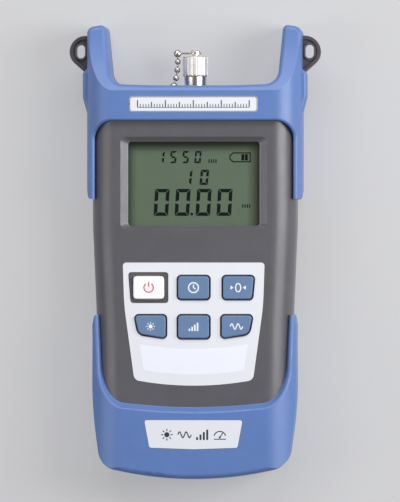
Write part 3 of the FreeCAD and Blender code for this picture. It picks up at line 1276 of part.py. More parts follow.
def build():
    envelope = housing_envelope()
    room = cavity()
    lugs = [lug(-1), lug(1)]
    parts = {
        "rubber_jacket": rubber_jacket(envelope, lugs),
        "front_cover": front_cover(envelope, room),
        "rear_cover": rear_cover(envelope, room),
        "strap_lug_left": lugs[0],
        "strap_lug_right": lugs[1],
        "housing_screws": housing_screws(),
        "title_plate": plate(title_outline(0)),
        "foot_plate": plate(foot_plate_outline(0)),
        "display_window": display_window(),
        "display_cell": display_cell(),
        "display_light": display_light(),
        "display_strips": display_strips(),
        "keypad_overlay": keypad_overlay(),
        "keypad_mat": keypad_mat(),
        "main_board": main_board(),
        "board_screws": board_screws(),
        "battery_contacts": battery_contacts(),
        "battery_door": battery_door(),
        "fibre_adaptor": fibre_adaptor(),
        "adaptor_nut": adaptor_nut(),
        "photodetector": photodetector(),
        "dust_cap": dust_cap(),
        "cap_rivet": cap_rivet(),
        "chain_tab": chain_tab(),
        "anchor_tab": anchor_tab(),
        "anchor_screw": anchor_screw(),
        "bead_chain": bead_chain(),
    }
    for index in range(3):
        parts[f"battery_{index + 1}"] = cell(index)
    for name, place in KEYS.items():
        parts[name] = key(*place)
    return parts


os.makedirs("parts", exist_ok=True)
for name, shape in build().items():
    shape.exportStep(f"parts/{name}.step")
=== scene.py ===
"""Looks of a handheld optical power meter that lies on its back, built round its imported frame.

X runs across the meter's face, Y towards the fibre adaptor and Z up out of the face. Places and sizes are
in metres; the outlines of prints are in millimetres.
"""
import bmesh
import bpy
import math
from mathutils import Matrix, Vector


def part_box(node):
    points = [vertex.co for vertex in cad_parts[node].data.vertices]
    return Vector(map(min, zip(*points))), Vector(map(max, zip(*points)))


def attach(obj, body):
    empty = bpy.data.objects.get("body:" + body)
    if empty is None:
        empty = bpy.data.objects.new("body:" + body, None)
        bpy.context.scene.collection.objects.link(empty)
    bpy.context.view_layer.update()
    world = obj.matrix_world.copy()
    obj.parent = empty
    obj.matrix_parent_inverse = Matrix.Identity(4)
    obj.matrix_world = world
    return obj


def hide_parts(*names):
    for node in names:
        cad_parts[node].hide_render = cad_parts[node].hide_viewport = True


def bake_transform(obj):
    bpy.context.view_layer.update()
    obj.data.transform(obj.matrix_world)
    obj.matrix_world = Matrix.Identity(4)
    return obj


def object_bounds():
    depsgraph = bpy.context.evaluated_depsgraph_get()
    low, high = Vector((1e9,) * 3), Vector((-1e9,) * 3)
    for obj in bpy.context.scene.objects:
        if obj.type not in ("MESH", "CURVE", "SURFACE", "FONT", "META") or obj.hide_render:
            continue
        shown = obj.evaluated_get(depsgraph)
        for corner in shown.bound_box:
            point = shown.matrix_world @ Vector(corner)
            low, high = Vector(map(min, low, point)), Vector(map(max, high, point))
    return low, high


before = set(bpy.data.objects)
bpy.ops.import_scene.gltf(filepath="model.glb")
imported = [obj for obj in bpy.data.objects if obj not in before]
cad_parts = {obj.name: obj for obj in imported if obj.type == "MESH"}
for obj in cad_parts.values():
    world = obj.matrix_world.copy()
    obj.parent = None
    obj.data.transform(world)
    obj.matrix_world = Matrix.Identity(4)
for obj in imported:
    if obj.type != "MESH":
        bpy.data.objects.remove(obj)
CAD_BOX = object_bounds()

MM = 0.001
BEYOND = 1.0                  # a level past every piece
INK_THICKNESS = 0.02 * MM
INK_LIFT = 0.005 * MM
WELD_GAP = 1e-7               # corners of a print that are nearer than this are one


# ---- node trees ----

def tone(red, green, blue):
    """Shader colour from values between 0 and 255."""
    def linear(value):
        part = value / 255
        return part / 12.92 if part <= 0.04045 else ((part + 0.055) / 1.055) ** 2.4
    return (linear(red), linear(green), linear(blue), 1.0)


def place(tree, kind, inputs=None, **settings):
    """Adds a node; inputs maps a socket's name or number to a value or to another node's output."""
    made = tree.nodes.new(kind)
    for name, value in settings.items():
        setattr(made, name, value)
    for name, value in (inputs or {}).items():
        if isinstance(value, bpy.types.NodeSocket):
            tree.links.new(value, made.inputs[name])
        else:
            made.inputs[name].default_value = value
    return made


def new_group(name, takes, gives):
    """Empty node group; takes lists (label, kind, value) and gives lists (label, kind)."""
    tree = bpy.data.node_groups.new(name, "ShaderNodeTree")
    for label, kind, value in takes:
        socket = tree.interface.new_socket(label, in_out="INPUT", socket_type="NodeSocket" + kind)
        socket.default_value = value
    for label, kind in gives:
        tree.interface.new_socket(label, in_out="OUTPUT", socket_type="NodeSocket" + kind)
    return tree, tree.nodes.new("NodeGroupInput").outputs, tree.nodes.new("NodeGroupOutput").inputs


def grouped(tree, group, inputs):
    """Output of a node group that is placed in the tree with these inputs."""
    return place(tree, "ShaderNodeGroup", inputs, node_tree=group).outputs[0]


def maths(tree, operation, first, second=0.0):
    return place(tree, "ShaderNodeMath", {0: first, 1: second}, operation=operation).outputs[0]


def dot(tree, first, second):
    """Dot product of two vectors."""
    return place(tree, "ShaderNodeVectorMath", {0: first, 1: second},
                 operation="DOT_PRODUCT").outputs["Value"]


def ramp(tree, value, start, end, low=0.0, high=1.0):
    """Value brought from the span between start and end to the span between low and high."""
    spans = {"Value": value, "From Min": start, "From Max": end, "To Min": low, "To Max": high}
    return place(tree, "ShaderNodeMapRange", spans).outputs["Result"]


def mixed(tree, factor, first, second):
    """Colour between two colours."""
    return place(tree, "ShaderNodeMix", {"Factor": factor, "A": first, "B": second},
                 data_type="RGBA").outputs["Result"]


def own_place(tree):
    """Place on the surface in the object's own coordinates."""
    return place(tree, "ShaderNodeTexCoord").outputs["Object"]


def noise(tree, size, detail=2.0, roughness=0.5):
    """Noise over the object's own coordinates; size is one cell in metres."""
    settings = {"Vector": own_place(tree), "Scale": maths(tree, "DIVIDE", 1.0, size), "Detail": detail,
                "Roughness": roughness}
    return place(tree, "ShaderNodeTexNoise", settings).outputs["Fac"]


def bumped(tree, height, strength, distance):
    """Normal of a surface that rises with height."""
    settings = {"Strength": strength, "Distance": distance, "Height": height}
    return place(tree, "ShaderNodeBump", settings).outputs["Normal"]


# ---- effects that the finishes share ----

def moulded_grain():
    """Fine even grain of a spark-eroded mould."""
    sockets = [("Cell", "Float", 0.25 * MM), ("Depth", "Float", 0.3)]
    tree, takes, gives = new_group("Moulded grain", sockets, [("Normal", "Vector")])
    height = noise(tree, takes["Cell"], detail=3.0, roughness=0.6)
    tree.links.new(bumped(tree, height, takes["Depth"], 0.1 * MM), gives["Normal"])
    return tree


def colour_drift():
    """Slow change of a colour over the surface, with a few finer specks."""
    sockets = [("Color", "Color", (1, 1, 1, 1)), ("Cell", "Float", 12 * MM), ("Amount", "Float", 0.08)]
    tree, takes, gives = new_group("Colour drift", sockets, [("Color", "Color")])
    speck_size, speck_share = 0.02, 0.25
    slow = maths(tree, "MULTIPLY", noise(tree, takes["Cell"]), 1 - speck_share)
    specks = noise(tree, maths(tree, "MULTIPLY", takes["Cell"], speck_size), detail=1.0)
    both = maths(tree, "ADD", slow, maths(tree, "MULTIPLY", specks, speck_share))
    swing = maths(tree, "MULTIPLY", maths(tree, "SUBTRACT", both, 0.5), takes["Amount"])
    value = maths(tree, "ADD", 1.0, maths(tree, "MULTIPLY", swing, 2.0))
    shifted = place(tree, "ShaderNodeHueSaturation", {"Color": takes["Color"], "Value": value})
    tree.links.new(shifted.outputs["Color"], gives["Color"])
    return tree


def uneven_gloss():
    """Roughness that wanders between two values, as handling leaves it."""
    sockets = [("Low", "Float", 0.35), ("High", "Float", 0.5), ("Cell", "Float", 6 * MM)]
    tree, takes, gives = new_group("Uneven gloss", sockets, [("Roughness", "Float")])
    usual_low, usual_high = 0.3, 0.7
    wander = noise(tree, takes["Cell"], detail=4.0, roughness=0.6)
    roughness = ramp(tree, wander, usual_low, usual_high, takes["Low"], takes["High"])
    tree.links.new(roughness, gives["Roughness"])
    return tree


def painted_edges():
    """Mask that is 1 along sharp edges, broken up by noise, where the finishes paint a highlight or a
    shade.
    """
    sockets = [("Width", "Float", 0.4 * MM), ("Breakup", "Float", 0.5)]
    tree, takes, gives = new_group("Painted edge light and shade", sockets, [("Mask", "Float")])
    rounded = place(tree, "ShaderNodeBevel", {"Radius": takes["Width"]}, samples=4).outputs["Normal"]
    face = place(tree, "ShaderNodeNewGeometry").outputs["Normal"]
    flat, sharp = 1.0, 0.8
    painted_edge = ramp(tree, dot(tree, rounded, face), flat, sharp)
    patches = maths(tree, "MULTIPLY", noise(tree, 2.5 * MM, detail=4.0), takes["Breakup"])
    mask = maths(tree, "MULTIPLY", painted_edge, maths(tree, "SUBTRACT", 1.0, patches))
    tree.links.new(mask, gives["Mask"])
    return tree


def band_mask():
    """Mask that is 1 between two levels along an axis, with soft ends."""
    sockets = [("Axis", "Vector", (0, 1, 0)), ("Low", "Float", 0.0), ("High", "Float", BEYOND),
               ("Blur", "Float", 0.1 * MM)]
    tree, takes, gives = new_group("Band mask", sockets, [("Mask", "Float")])
    level = dot(tree, own_place(tree), takes["Axis"])
    rise = ramp(tree, maths(tree, "SUBTRACT", level, takes["Low"]), 0.0, takes["Blur"])
    fall = ramp(tree, maths(tree, "SUBTRACT", takes["High"], level), 0.0, takes["Blur"])
    tree.links.new(maths(tree, "MULTIPLY", rise, fall), gives["Mask"])
    return tree


def turned_thread():
    """Ridges of a fine thread along Y, where the mask is 1."""
    sockets = [("Pitch", "Float", 0.75 * MM), ("Mask", "Float", 1.0)]
    tree, takes, gives = new_group("Turned thread", sockets, [("Normal", "Vector")])
    y = place(tree, "ShaderNodeSeparateXYZ", {"Vector": own_place(tree)}).outputs["Y"]
    wave = maths(tree, "PINGPONG", y, maths(tree, "MULTIPLY", takes["Pitch"], 0.5))
    height = maths(tree, "MULTIPLY", wave, takes["Mask"])
    tree.links.new(bumped(tree, height, 1.0, 1.0), gives["Normal"])
    return tree


GRAIN = moulded_grain()
DRIFT = colour_drift()
GLOSS = uneven_gloss()
PAINTED_EDGES = painted_edges()
BAND = band_mask()
THREAD = turned_thread()


# ---- finishes ----

NICKEL = tone(214, 206, 198)
CELL_SLEEVE = tone(40, 42, 48)
CELL_COPPER = tone(190, 116, 66)
THREAD_LENGTH = 6.4 * MM      # from the barrel's open end
LEAD_IN = 0.5 * MM            # plain turn in front of the thread
CELL_FOOT = 1.0 * MM          # bare metal at a cell's flat end
CELL_CAP = 2.0 * MM           # bare metal at its capped end
CELL_SHOULDER = 15 * MM       # copper-coloured stretch on the capped end's side


def new_finish(name, **constants):
    """Material with a Principled shader whose named sockets hold the given constants."""
    material = bpy.data.materials.new(name)
    material.use_nodes = True
    tree = material.node_tree
    shader = tree.nodes["Principled BSDF"]
    for label, value in constants.items():
        shader.inputs[label.replace("_", " ")].default_value = value
    return material, tree, shader.inputs


def moulded(name, colour, rough, cell=0.25 * MM, depth=0.3, drift=0.08, painted_edge=None, **constants):
    """Moulded plastic or rubber: grain, slow colour change, uneven gloss and, given an edge colour, that
    colour painted along sharp edges: painted highlight when lighter, painted shade when darker.

    rough is the lowest and the highest roughness, cell and depth are the grain's, drift the colour's.
    """
    material, tree, shader = new_finish(name, **constants)
    shade = grouped(tree, DRIFT, {"Color": colour, "Amount": drift})
    # Sharp edges are painted in the edge colour, as a painted highlight or a painted shade.
    if painted_edge:
        mask = grouped(tree, PAINTED_EDGES, {"Width": 0.5 * MM})
        shade = mixed(tree, mask, shade, painted_edge)
    tree.links.new(shade, shader["Base Color"])
    tree.links.new(grouped(tree, GLOSS, {"Low": rough[0], "High": rough[1]}), shader["Roughness"])
    tree.links.new(grouped(tree, GRAIN, {"Cell": cell, "Depth": depth}), shader["Normal"])
    return material


def plated(name, colour, rough):
    """Metal coat whose surface is still without marks."""
    material, tree, shader = new_finish(name, Metallic=1.0)
    shade = grouped(tree, DRIFT, {"Color": colour, "Cell": 3 * MM, "Amount": 0.1})
    gloss = grouped(tree, GLOSS, {"Low": rough[0], "High": rough[1], "Cell": 1.5 * MM})
    tree.links.new(shade, shader["Base Color"])
    tree.links.new(gloss, shader["Roughness"])
    return material, tree, shader


def polished(name, colour, rough):
    """Plated metal with faint turning marks."""
    material, tree, shader = plated(name, colour, rough)
    tree.links.new(grouped(tree, GRAIN, {"Cell": 0.12 * MM, "Depth": 0.2}), shader["Normal"])
    return material


def corners(name):
    """Lowest and highest corner of a node's box, in its own coordinates."""
    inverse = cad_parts[name].matrix_world.inverted()
    low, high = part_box(name)
    return inverse @ low, inverse @ high


def threaded(name, node):
    """Plated barrel whose last stretch carries a thread."""
    material, tree, shader = plated(name, NICKEL, (0.2, 0.3))
    mouth = corners(node)[1].y
    mask = grouped(tree, BAND, {"Low": mouth - THREAD_LENGTH, "High": mouth - LEAD_IN})
    tree.links.new(grouped(tree, THREAD, {"Mask": mask}), shader["Normal"])
    return material


def sleeved(name, node, cap_up):
    """Cell with a dark sleeve, a copper-coloured shoulder and bare metal ends."""
    material, tree, shader = new_finish(name)
    low, high = (corner.y for corner in corners(node))
    if cap_up:
        sleeve = {"Low": low + CELL_FOOT, "High": high - CELL_CAP}
        shoulder = {"Low": high - CELL_SHOULDER, "High": high}
    else:
        sleeve = {"Low": low + CELL_CAP, "High": high - CELL_FOOT}
        shoulder = {"Low": low, "High": low + CELL_SHOULDER}
    covered = grouped(tree, BAND, sleeve)
    wrap = mixed(tree, grouped(tree, BAND, shoulder), CELL_SLEEVE, CELL_COPPER)
    whole = mixed(tree, covered, NICKEL, wrap)
    tree.links.new(grouped(tree, DRIFT, {"Color": whole, "Amount": 0.04}), shader["Base Color"])
    tree.links.new(maths(tree, "SUBTRACT", 1.0, covered), shader["Metallic"])
    tree.links.new(grouped(tree, GLOSS, {"Low": 0.22, "High": 0.32}), shader["Roughness"])
    return material


def display_glass():
    """Grey-green display with painted shadow of its opening's rim along the edges, most of all along the
    top and the right.
    """
    material, tree, shader = new_finish("Display glass", Specular_IOR_Level=0.2)
    low, high = corners("display_window")
    up, right, left = (0, 1, 0), (1, 0, 0), (-1, 0, 0)
    # Painted shadows of the opening's rim: the way to a side, that side's level, how far the shadow reaches
    # in from it, its blur and its colour.
    rim_shadows = ((up, high.y, 7.0 * MM, 5.0 * MM, tone(78, 92, 72)),
            (right, high.x, 6.4 * MM, 4.2 * MM, tone(58, 62, 46)),
            (left, -low.x, 4.6 * MM, 2.8 * MM, tone(66, 80, 62)),
            (up, high.y, 5.4 * MM, 3.0 * MM, tone(30, 38, 26)))
    shade = tone(95, 110, 92)
    for way, side, reach, blur, shadow_tone in rim_shadows:
        mask = grouped(tree, BAND, {"Axis": way, "Low": side - reach, "High": BEYOND, "Blur": blur})
        shade = mixed(tree, mask, shade, shadow_tone)
    drifting = grouped(tree, DRIFT, {"Color": shade, "Cell": 9 * MM, "Amount": 0.06})
    tree.links.new(drifting, shader["Base Color"])
    tree.links.new(grouped(tree, GLOSS, {"Low": 0.3, "High": 0.4}), shader["Roughness"])
    return material


def clear_window():
    """Clear acrylic, thin enough to show what lies under it undimmed."""
    material, tree, shader = new_finish("Clear window", Alpha=0.06, IOR=1.49)
    tree.links.new(grouped(tree, DRIFT, {"Color": tone(70, 78, 72), "Amount": 0.02}), shader["Base Color"])
    tree.links.new(grouped(tree, GLOSS, {"Low": 0.02, "High": 0.06}), shader["Roughness"])
    return material


FINISH = {
    # The lighter edge colours of the jacket, housing and lugs are painted highlights along their sharp
    # edges.
    "jacket": moulded("Jacket rubber", tone(88, 117, 174), (0.36, 0.46), painted_edge=tone(122, 148, 198),
                      cell=0.3 * MM, depth=0.25, drift=0.05),
    "housing": moulded("Housing plastic", tone(86, 85, 90), (0.3, 0.38), painted_edge=tone(108, 107, 112),
                       depth=0.3, drift=0.1),
    "lug": moulded("Lug plastic", tone(76, 74, 78), (0.25, 0.36), painted_edge=tone(112, 109, 113), depth=0.1),
    "plate": moulded("White plate", tone(217, 219, 226), (0.35, 0.45), depth=0.08, drift=0.02),
    "overlay": moulded("Keypad plate", tone(219, 220, 226), (0.38, 0.5), depth=0.15, drift=0.02),
    "field": moulded("Bright field", tone(228, 230, 240), (0.35, 0.45), depth=0.08, drift=0.02),
    # The blue keys' dark edge colour is painted shade, standing in for the shadow in the gaps round the
    # keys.
    "blue key": moulded("Blue key", tone(98, 124, 160), (0.36, 0.46), painted_edge=tone(40, 56, 88), depth=0.15),
    "white key": moulded("White key", tone(238, 238, 240), (0.35, 0.45), depth=0.1, drift=0.02),
    "key legend": moulded("Key legend", tone(228, 230, 236), (0.5, 0.6), depth=0.1, drift=0.05),
    "red legend": moulded("Red legend", tone(208, 92, 88), (0.5, 0.6), depth=0.1, drift=0.05),
    "dark ink": moulded("Dark ink", tone(44, 42, 46), (0.45, 0.6), depth=0.1, drift=0.1),
    "lcd": display_glass(),
    "lcd ink": moulded("Display segments", tone(6, 12, 16), (0.5, 0.6), depth=0.02, drift=0.05,
                       Specular_IOR_Level=0.0),
    "diffuser": moulded("Light box", tone(225, 226, 222), (0.4, 0.5), depth=0.1),
    "strip": moulded("Contact strip", tone(48, 46, 48), (0.6, 0.75), depth=0.3),
    "mat": moulded("Key mat", tone(140, 141, 146), (0.5, 0.65), depth=0.2),
    "board": moulded("Board", tone(24, 92, 56), (0.3, 0.45), cell=0.5 * MM, depth=0.2),
    "cell up": sleeved("Cell, cap up", "battery_1", True),
    "cell down": sleeved("Cell, cap down", "battery_2", False),
    "nickel": polished("Nickel plate", NICKEL, (0.2, 0.34)),
    "cap": polished("Turned cap", tone(226, 221, 216), (0.5, 0.6)),
    "barrel": threaded("Threaded barrel", "fibre_adaptor"),
    "steel": polished("Plated steel", tone(168, 170, 174), (0.25, 0.4)),
    "gold": polished("Detector can", tone(214, 184, 120), (0.2, 0.3)),
    "window": clear_window(),
}

NODE_FINISH = {
    "jacket": ["rubber_jacket"],
    "housing": ["front_cover", "rear_cover", "battery_door"],
    "lug": ["strap_lug_left", "strap_lug_right"],
    "plate": ["title_plate", "foot_plate"],
    "overlay": ["keypad_overlay"],
    "blue key": ["key_timer", "key_zero", "key_light", "key_level", "key_wave"],
    "white key": ["key_power"],
    "lcd": ["display_cell"],
    "window": ["display_window"],
    "diffuser": ["display_light"],
    "strip": ["display_strips"],
    "mat": ["keypad_mat"],
    "board": ["main_board"],
    "cell up": ["battery_1", "battery_3"],
    "cell down": ["battery_2"],
    "barrel": ["fibre_adaptor"],
    "cap": ["dust_cap", "adaptor_nut"],
    "nickel": ["cap_rivet", "chain_tab", "anchor_tab", "anchor_screw", "bead_chain"],
    "steel": ["housing_screws", "board_screws", "battery_contacts"],
    "gold": ["photodetector"],
}


def dress_nodes():
    for finish, nodes in NODE_FINISH.items():
        for name in nodes:
            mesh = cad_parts[name].data
            mesh.materials.clear()
            mesh.materials.append(FINISH[finish])


# ---- objects ----

def add_object(name, data):
    """Puts a mesh, lamp or camera in the scene."""
    made = bpy.data.objects.new(name, data)
    bpy.context.scene.collection.objects.link(made)
    return made


def add_piece(name, build, material):
    """Makes an object of finished mesh code and puts it in the scene."""
    mesh = bpy.data.meshes.new(name)
    build.to_mesh(mesh)
    build.free()
    mesh.materials.append(material)
    return add_object(name, mesh)


# ---- prints: outlines in millimetres, laid on a surface ----

def moved(shapes, x, y):
    return [[(px + x, py + y) for px, py in shape] for shape in shapes]


def disc(x, y, radius, sides=20):
    return [(x + radius * math.cos(2 * math.pi * i / sides), y + radius * math.sin(2 * math.pi * i / sides))
            for i in range(sides)]


def bar(x0, y0, x1, y1, width):
    """Rectangle of that width along a line."""
    length = math.hypot(x1 - x0, y1 - y0)
    ax, ay = (y0 - y1) / length * width / 2, (x1 - x0) / length * width / 2
    return [(x0 - ax, y0 - ay), (x1 - ax, y1 - ay), (x1 + ax, y1 + ay), (x0 + ax, y0 + ay)]


def line(points, width, closed=False):
    """Stroke of even width through points, as one strip of joined quads."""
    count = len(points)
    sharpest = 0.3            # keeps the outer corner of a tight turn from running out to a spike
    edges = []
    for i, (x, y) in enumerate(points):
        before = points[i - 1] if i or closed else points[i]
        after = points[(i + 1) % count] if i < count - 1 or closed else points[i]
        into = Vector((x - before[0], y - before[1]))
        out = Vector((after[0] - x, after[1] - y))
        into = into.normalized() if into.length else out.normalized()
        out = out.normalized() if out.length else into
        tangent = (into + out).normalized()
        half = tangent * (width / 2 / max(tangent.dot(out), sharpest))
        edges.append(((x - half.y, y + half.x), (x + half.y, y - half.x)))
    pairs = list(zip(edges, edges[1:] + edges[:1]))
    if not closed:
        pairs.pop()
    return [[a[0], a[1], b[1], b[0]] for a, b in pairs]


def arc(x, y, radius, start, end, steps=24):
    """Points along a circle; angles in degrees."""
    turns = [math.radians(start + (end - start) * i / steps) for i in range(steps + 1)]
    return [(x + radius * math.cos(turn), y + radius * math.sin(turn)) for turn in turns]


def bow(half, y, sag, steps=12):
    """Points from side to side along a line that hangs down in the middle."""
    shares = [2 * i / steps - 1 for i in range(steps + 1)]
    return [(half * share, y - sag * (1 - share ** 2)) for share in shares]


def round_box(width, height, radius):
    """Outline of a rectangle with round corners, about the origin."""
    w, h = width / 2 - radius, height / 2 - radius
    quarters = ((w, h, 0), (-w, h, 90), (-w, -h, 180), (w, -h, 270))
    return [point for x, y, start in quarters for point in arc(x, y, radius, start, start + 90, steps=5)]


def middle(node):
    """Middle of a node, seen from the front, in millimetres."""
    low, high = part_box(node)
    return (low.x + high.x) / 2 / MM, (low.y + high.y) / 2 / MM


def top(node):
    """Highest level of a node, in metres."""
    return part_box(node)[1].z


def lay_print(name, shapes, centre, level, finish, body):
    """Thin flat piece with its outlines placed from a centre, just above a level given in metres."""
    build = bmesh.new()
    for shape in moved(shapes, *centre):
        build.faces.new([build.verts.new((x * MM, y * MM, level + INK_LIFT)) for x, y in shape])
    bmesh.ops.remove_doubles(build, verts=build.verts, dist=WELD_GAP)
    bmesh.ops.recalc_face_normals(build, faces=build.faces)
    for face in build.faces:
        if face.normal.z < 0:
            face.normal_flip()
    raised = bmesh.ops.extrude_face_region(build, geom=list(build.faces))
    tops = [item for item in raised["geom"] if isinstance(item, bmesh.types.BMVert)]
    bmesh.ops.translate(build, verts=tops, vec=(0, 0, INK_THICKNESS))
    bmesh.ops.recalc_face_normals(build, faces=build.faces)
    piece = add_piece(name, build, FINISH[finish])
    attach(piece, body)


# ---- display ----

LIT = {0: "abcdef", 1: "bc", 5: "afgcd"}      # lit segments of the digits that show


def numeral(digit, x, y, width, height, thick, slant):
    """Lit segments of one seven-segment numeral; x and y are its lower left corner."""
    gap = thick * 0.12
    half = height / 2
    end = thick * 0.45
    bars = {
        "a": [(gap, height), (width - gap, height), (width - thick - gap, height - thick),
              (thick + gap, height - thick)],
        "d": [(thick + gap, thick), (width - thick - gap, thick), (width - gap, 0), (gap, 0)],
        "g": [(end + gap, half), (thick + gap, half + thick / 2), (width - thick - gap, half + thick / 2),
              (width - end - gap, half), (width - thick - gap, half - thick / 2),
              (thick + gap, half - thick / 2)],
        "f": [(0, height - gap), (thick, height - thick - gap), (thick, half + end + gap),
              (0, half + gap * 2)],
        "e": [(0, half - gap * 2), (thick, half - end - gap), (thick, thick + gap), (0, gap)],
    }
    bars["b"] = [(width - px, py) for px, py in bars["f"]]
    bars["c"] = [(width - px, py) for px, py in bars["e"]]
    return [[(x + px + py * slant, y + py) for px, py in bars[name]] for name in LIT[digit]]


def number(digits, x, y, width, height, thick, slant, pitch):
    """Row of numerals; x and y are the lower left corner of the first."""
    shapes = []
    for column, digit in enumerate(digits):
        shapes += numeral(digit, x + column * pitch, y, width, height, thick, slant)
    return shapes


def battery_mark(x, y, width, height):
    """Outline of a cell with its nose on the left, two blocks full."""
    nose = height * 0.35
    outline = [(x + nose, y), (x + width, y), (x + width, y + height), (x + nose, y + height),
               (x, y + height * 0.7), (x, y + height * 0.3)]
    shapes = line(outline, 0.45, closed=True)
    inset, pitch, margin = 1.5, 1.35, 0.5
    for block in range(2):
        at = x + width - inset - block * pitch
        shapes.append(bar(at, y + margin, at, y + height - margin, 1.15))
    return shapes


def unit_bars(x, y):
    """Four short bars in place of a unit."""
    pitch, tall, wide = 0.9, 1.4, 0.42
    return [bar(x + pitch * i, y, x + pitch * i, y + tall, wide) for i in range(4)]


def display():
    """Everything that the display shows, placed from the middle of its window."""
    shapes = number([1, 5, 5, 0], x=-14.2, y=7.9, width=2.5, height=4.7, thick=0.75, slant=0.1, pitch=4.75)
    shapes += number([1, 0], x=-4.3, y=-0.5, width=3.2, height=5.9, thick=0.95, slant=0.1, pitch=6.4)
    shapes += number([0, 0, 0, 0], x=-15.6, y=-12.4, width=5.6, height=10.4, thick=1.35, slant=0.06,
                     pitch=8.1)
    shapes.append(disc(x=-0.85, y=-11.7, radius=0.55))
    shapes += battery_mark(x=13.9, y=8.45, width=7.8, height=3.4)
    shapes += unit_bars(x=5.8, y=8.0)
    shapes += unit_bars(x=18.8, y=-9.3)
    lay_print("display_segments", shapes, middle("display_window"), top("display_cell"), "lcd ink",
              "housing")


# ---- marks on the keys and plates ----

def power_mark(size):
    stroke = size * 0.28
    return line(arc(0, 0, size, 125, 415), stroke) + [bar(0, size * 0.25, 0, size * 1.2, stroke)]


def timer_mark(size):
    face = line(disc(0, 0, size, sides=24), size * 0.26, closed=True)
    return face + line([(0, size * 0.62), (0, 0), (size * 0.45, -size * 0.3)], size * 0.24)


def zero_mark(size):
    """Oval between two small arrowheads that point at it."""
    oval = [(x * 0.62, y) for x, y in disc(0, 0, size)]
    marks = line(oval, size * 0.28, closed=True)
    for side in (-1, 1):
        tip = side * size * 1.1
        back = tip + side * size * 0.75
        marks.append([(tip, 0), (back, size * 0.5), (back, -size * 0.5)])
    return marks


def sun_mark(size):
    ray_end, ray_width = 1.55, size * 0.2
    rays = [bar(x, y, x * ray_end, y * ray_end, ray_width) for x, y in disc(0, 0, size * 0.72, sides=8)]
    return [disc(0, 0, size * 0.5)] + rays


def level_mark(size):
    """Four bars, each taller than the one before."""
    pitch, width, shortest, step = size * 0.65, size * 0.38, 0.55, 0.48
    return [bar(pitch * (i - 1.5), -size, pitch * (i - 1.5), -size + size * (shortest + step * i), width)
            for i in range(4)]


def wave_mark(size):
    """Two waves of a sine."""
    points = [(size * (i / 10 - 1.5), size * 0.65 * math.sin(math.pi * i / 7.5)) for i in range(31)]
    return line(points, size * 0.26)


def dial_mark(size):
    """Needle under a bowed scale, on a base line."""
    hub, base, stroke = -size * 0.5, -size * 0.85, size * 0.18
    marks = line(arc(0, hub, size * 1.15, 15, 165), size * 0.2)
    marks.append(bar(0, hub, size * 0.55, size * 0.35, stroke))
    marks.append(disc(0, hub, size * 0.2))
    marks.append(bar(-size * 1.15, base, size * 1.15, base, stroke))
    return marks


# Each key's mark, the mark's size, its finish and its slot.
KEY_MARKS = {
    "key_power": (power_mark, 1.8, "red legend", "white_key"),
    "key_timer": (timer_mark, 1.9, "key legend", "blue_key"),
    "key_zero": (zero_mark, 1.6, "key legend", "blue_key"),
    "key_light": (sun_mark, 1.5, "key legend", "blue_key"),
    "key_level": (level_mark, 1.6, "key legend", "blue_key"),
    "key_wave": (wave_mark, 1.6, "key legend", "blue_key"),
}

FOOT_MARKS = ((sun_mark, 2.0), (wave_mark, 1.7), (level_mark, 2.0), (dial_mark, 2.0))
FOOT_PITCH = 6.8


def key_legends():
    for key, (mark, size, finish, slot) in KEY_MARKS.items():
        lay_print(key + "_mark", mark(size), middle(key), top(key), finish, key + "_body")


def title_scale():
    """Graduated scale in a thin border, in place of a title."""
    low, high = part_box("title_plate")
    reach, steps, foot, base, stroke = 21.5, 40, -1.2, -1.3, 0.22
    shapes = [bar(-reach, base, reach, base, stroke)]
    for i in range(steps + 1):
        at = -reach + 2 * reach * i / steps
        tall = 2.7 if i % 10 == 0 else 2.0 if i % 5 == 0 else 1.25
        shapes.append(bar(at, foot, at, foot + tall, 0.28 if i % 5 else 0.4))
    margin = 0.5
    border = round_box((high.x - low.x) / MM - margin, (high.y - low.y) / MM - margin, 1.0)
    shapes += line(border, stroke, closed=True)
    lay_print("title_scale", shapes, middle("title_plate"), high.z, "dark ink", "housing")


def foot_marks():
    """Signs in a row on the foot plate."""
    shapes = []
    for index, (mark, size) in enumerate(FOOT_MARKS):
        shapes += moved(mark(size), FOOT_PITCH * (index - 1.5), 0)
    lay_print("foot_marks", shapes, middle("foot_plate"), top("foot_plate"), "dark ink", "housing")


def bright_field():
    """Lighter printed field below the keys, bowed like the plate's lower edge."""
    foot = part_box("keypad_overlay")[0].y / MM
    lower = bow(half=17.8, y=foot + 5.6, sag=1.3)
    upper = bow(half=20.9, y=foot + 15.9, sag=1.7)
    corner_x, corner_y = 19.4, foot + 6.4
    outline = lower + [(corner_x, corner_y)] + upper[::-1] + [(-corner_x, corner_y)]
    lay_print("bright_field", [outline], (0, 0), top("keypad_overlay"), "field", "housing")


# ---- ball chain ----

FREE_BEADS = 3
FAR_ENDS = 10.0               # between the blend ends of a bead
BEAD_RADIUS = 1.2 * MM
CLASP_RADIUS = 1.55 * MM
LINK_RADIUS = 0.3 * MM
CHAIN_BOW = 0.55 * MM
CHAIN_SAG = 0.9 * MM


def chain_piece(name, build, start, end):
    """One mesh of the chain, in place of the chain node, which it hides; start and end are not used."""
    for face in build.faces:
        face.smooth = True
    piece = add_piece(name, build, FINISH["nickel"])
    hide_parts("bead_chain")
    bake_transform(piece)


def even_pull(centre, share):
    """Two far-off points along the pull, about a bead's centre, between which an eased blend stands at this
    share of the way at the centre.
    """
    # An eased blend moves slowly near its ends; this undoes that ease.
    rise = 0.5 - math.sin(math.asin(1 - 2 * share) / 3)
    along = Vector((0, FAR_ENDS, 0))
    return centre - along * rise, centre + along * (1 - rise)


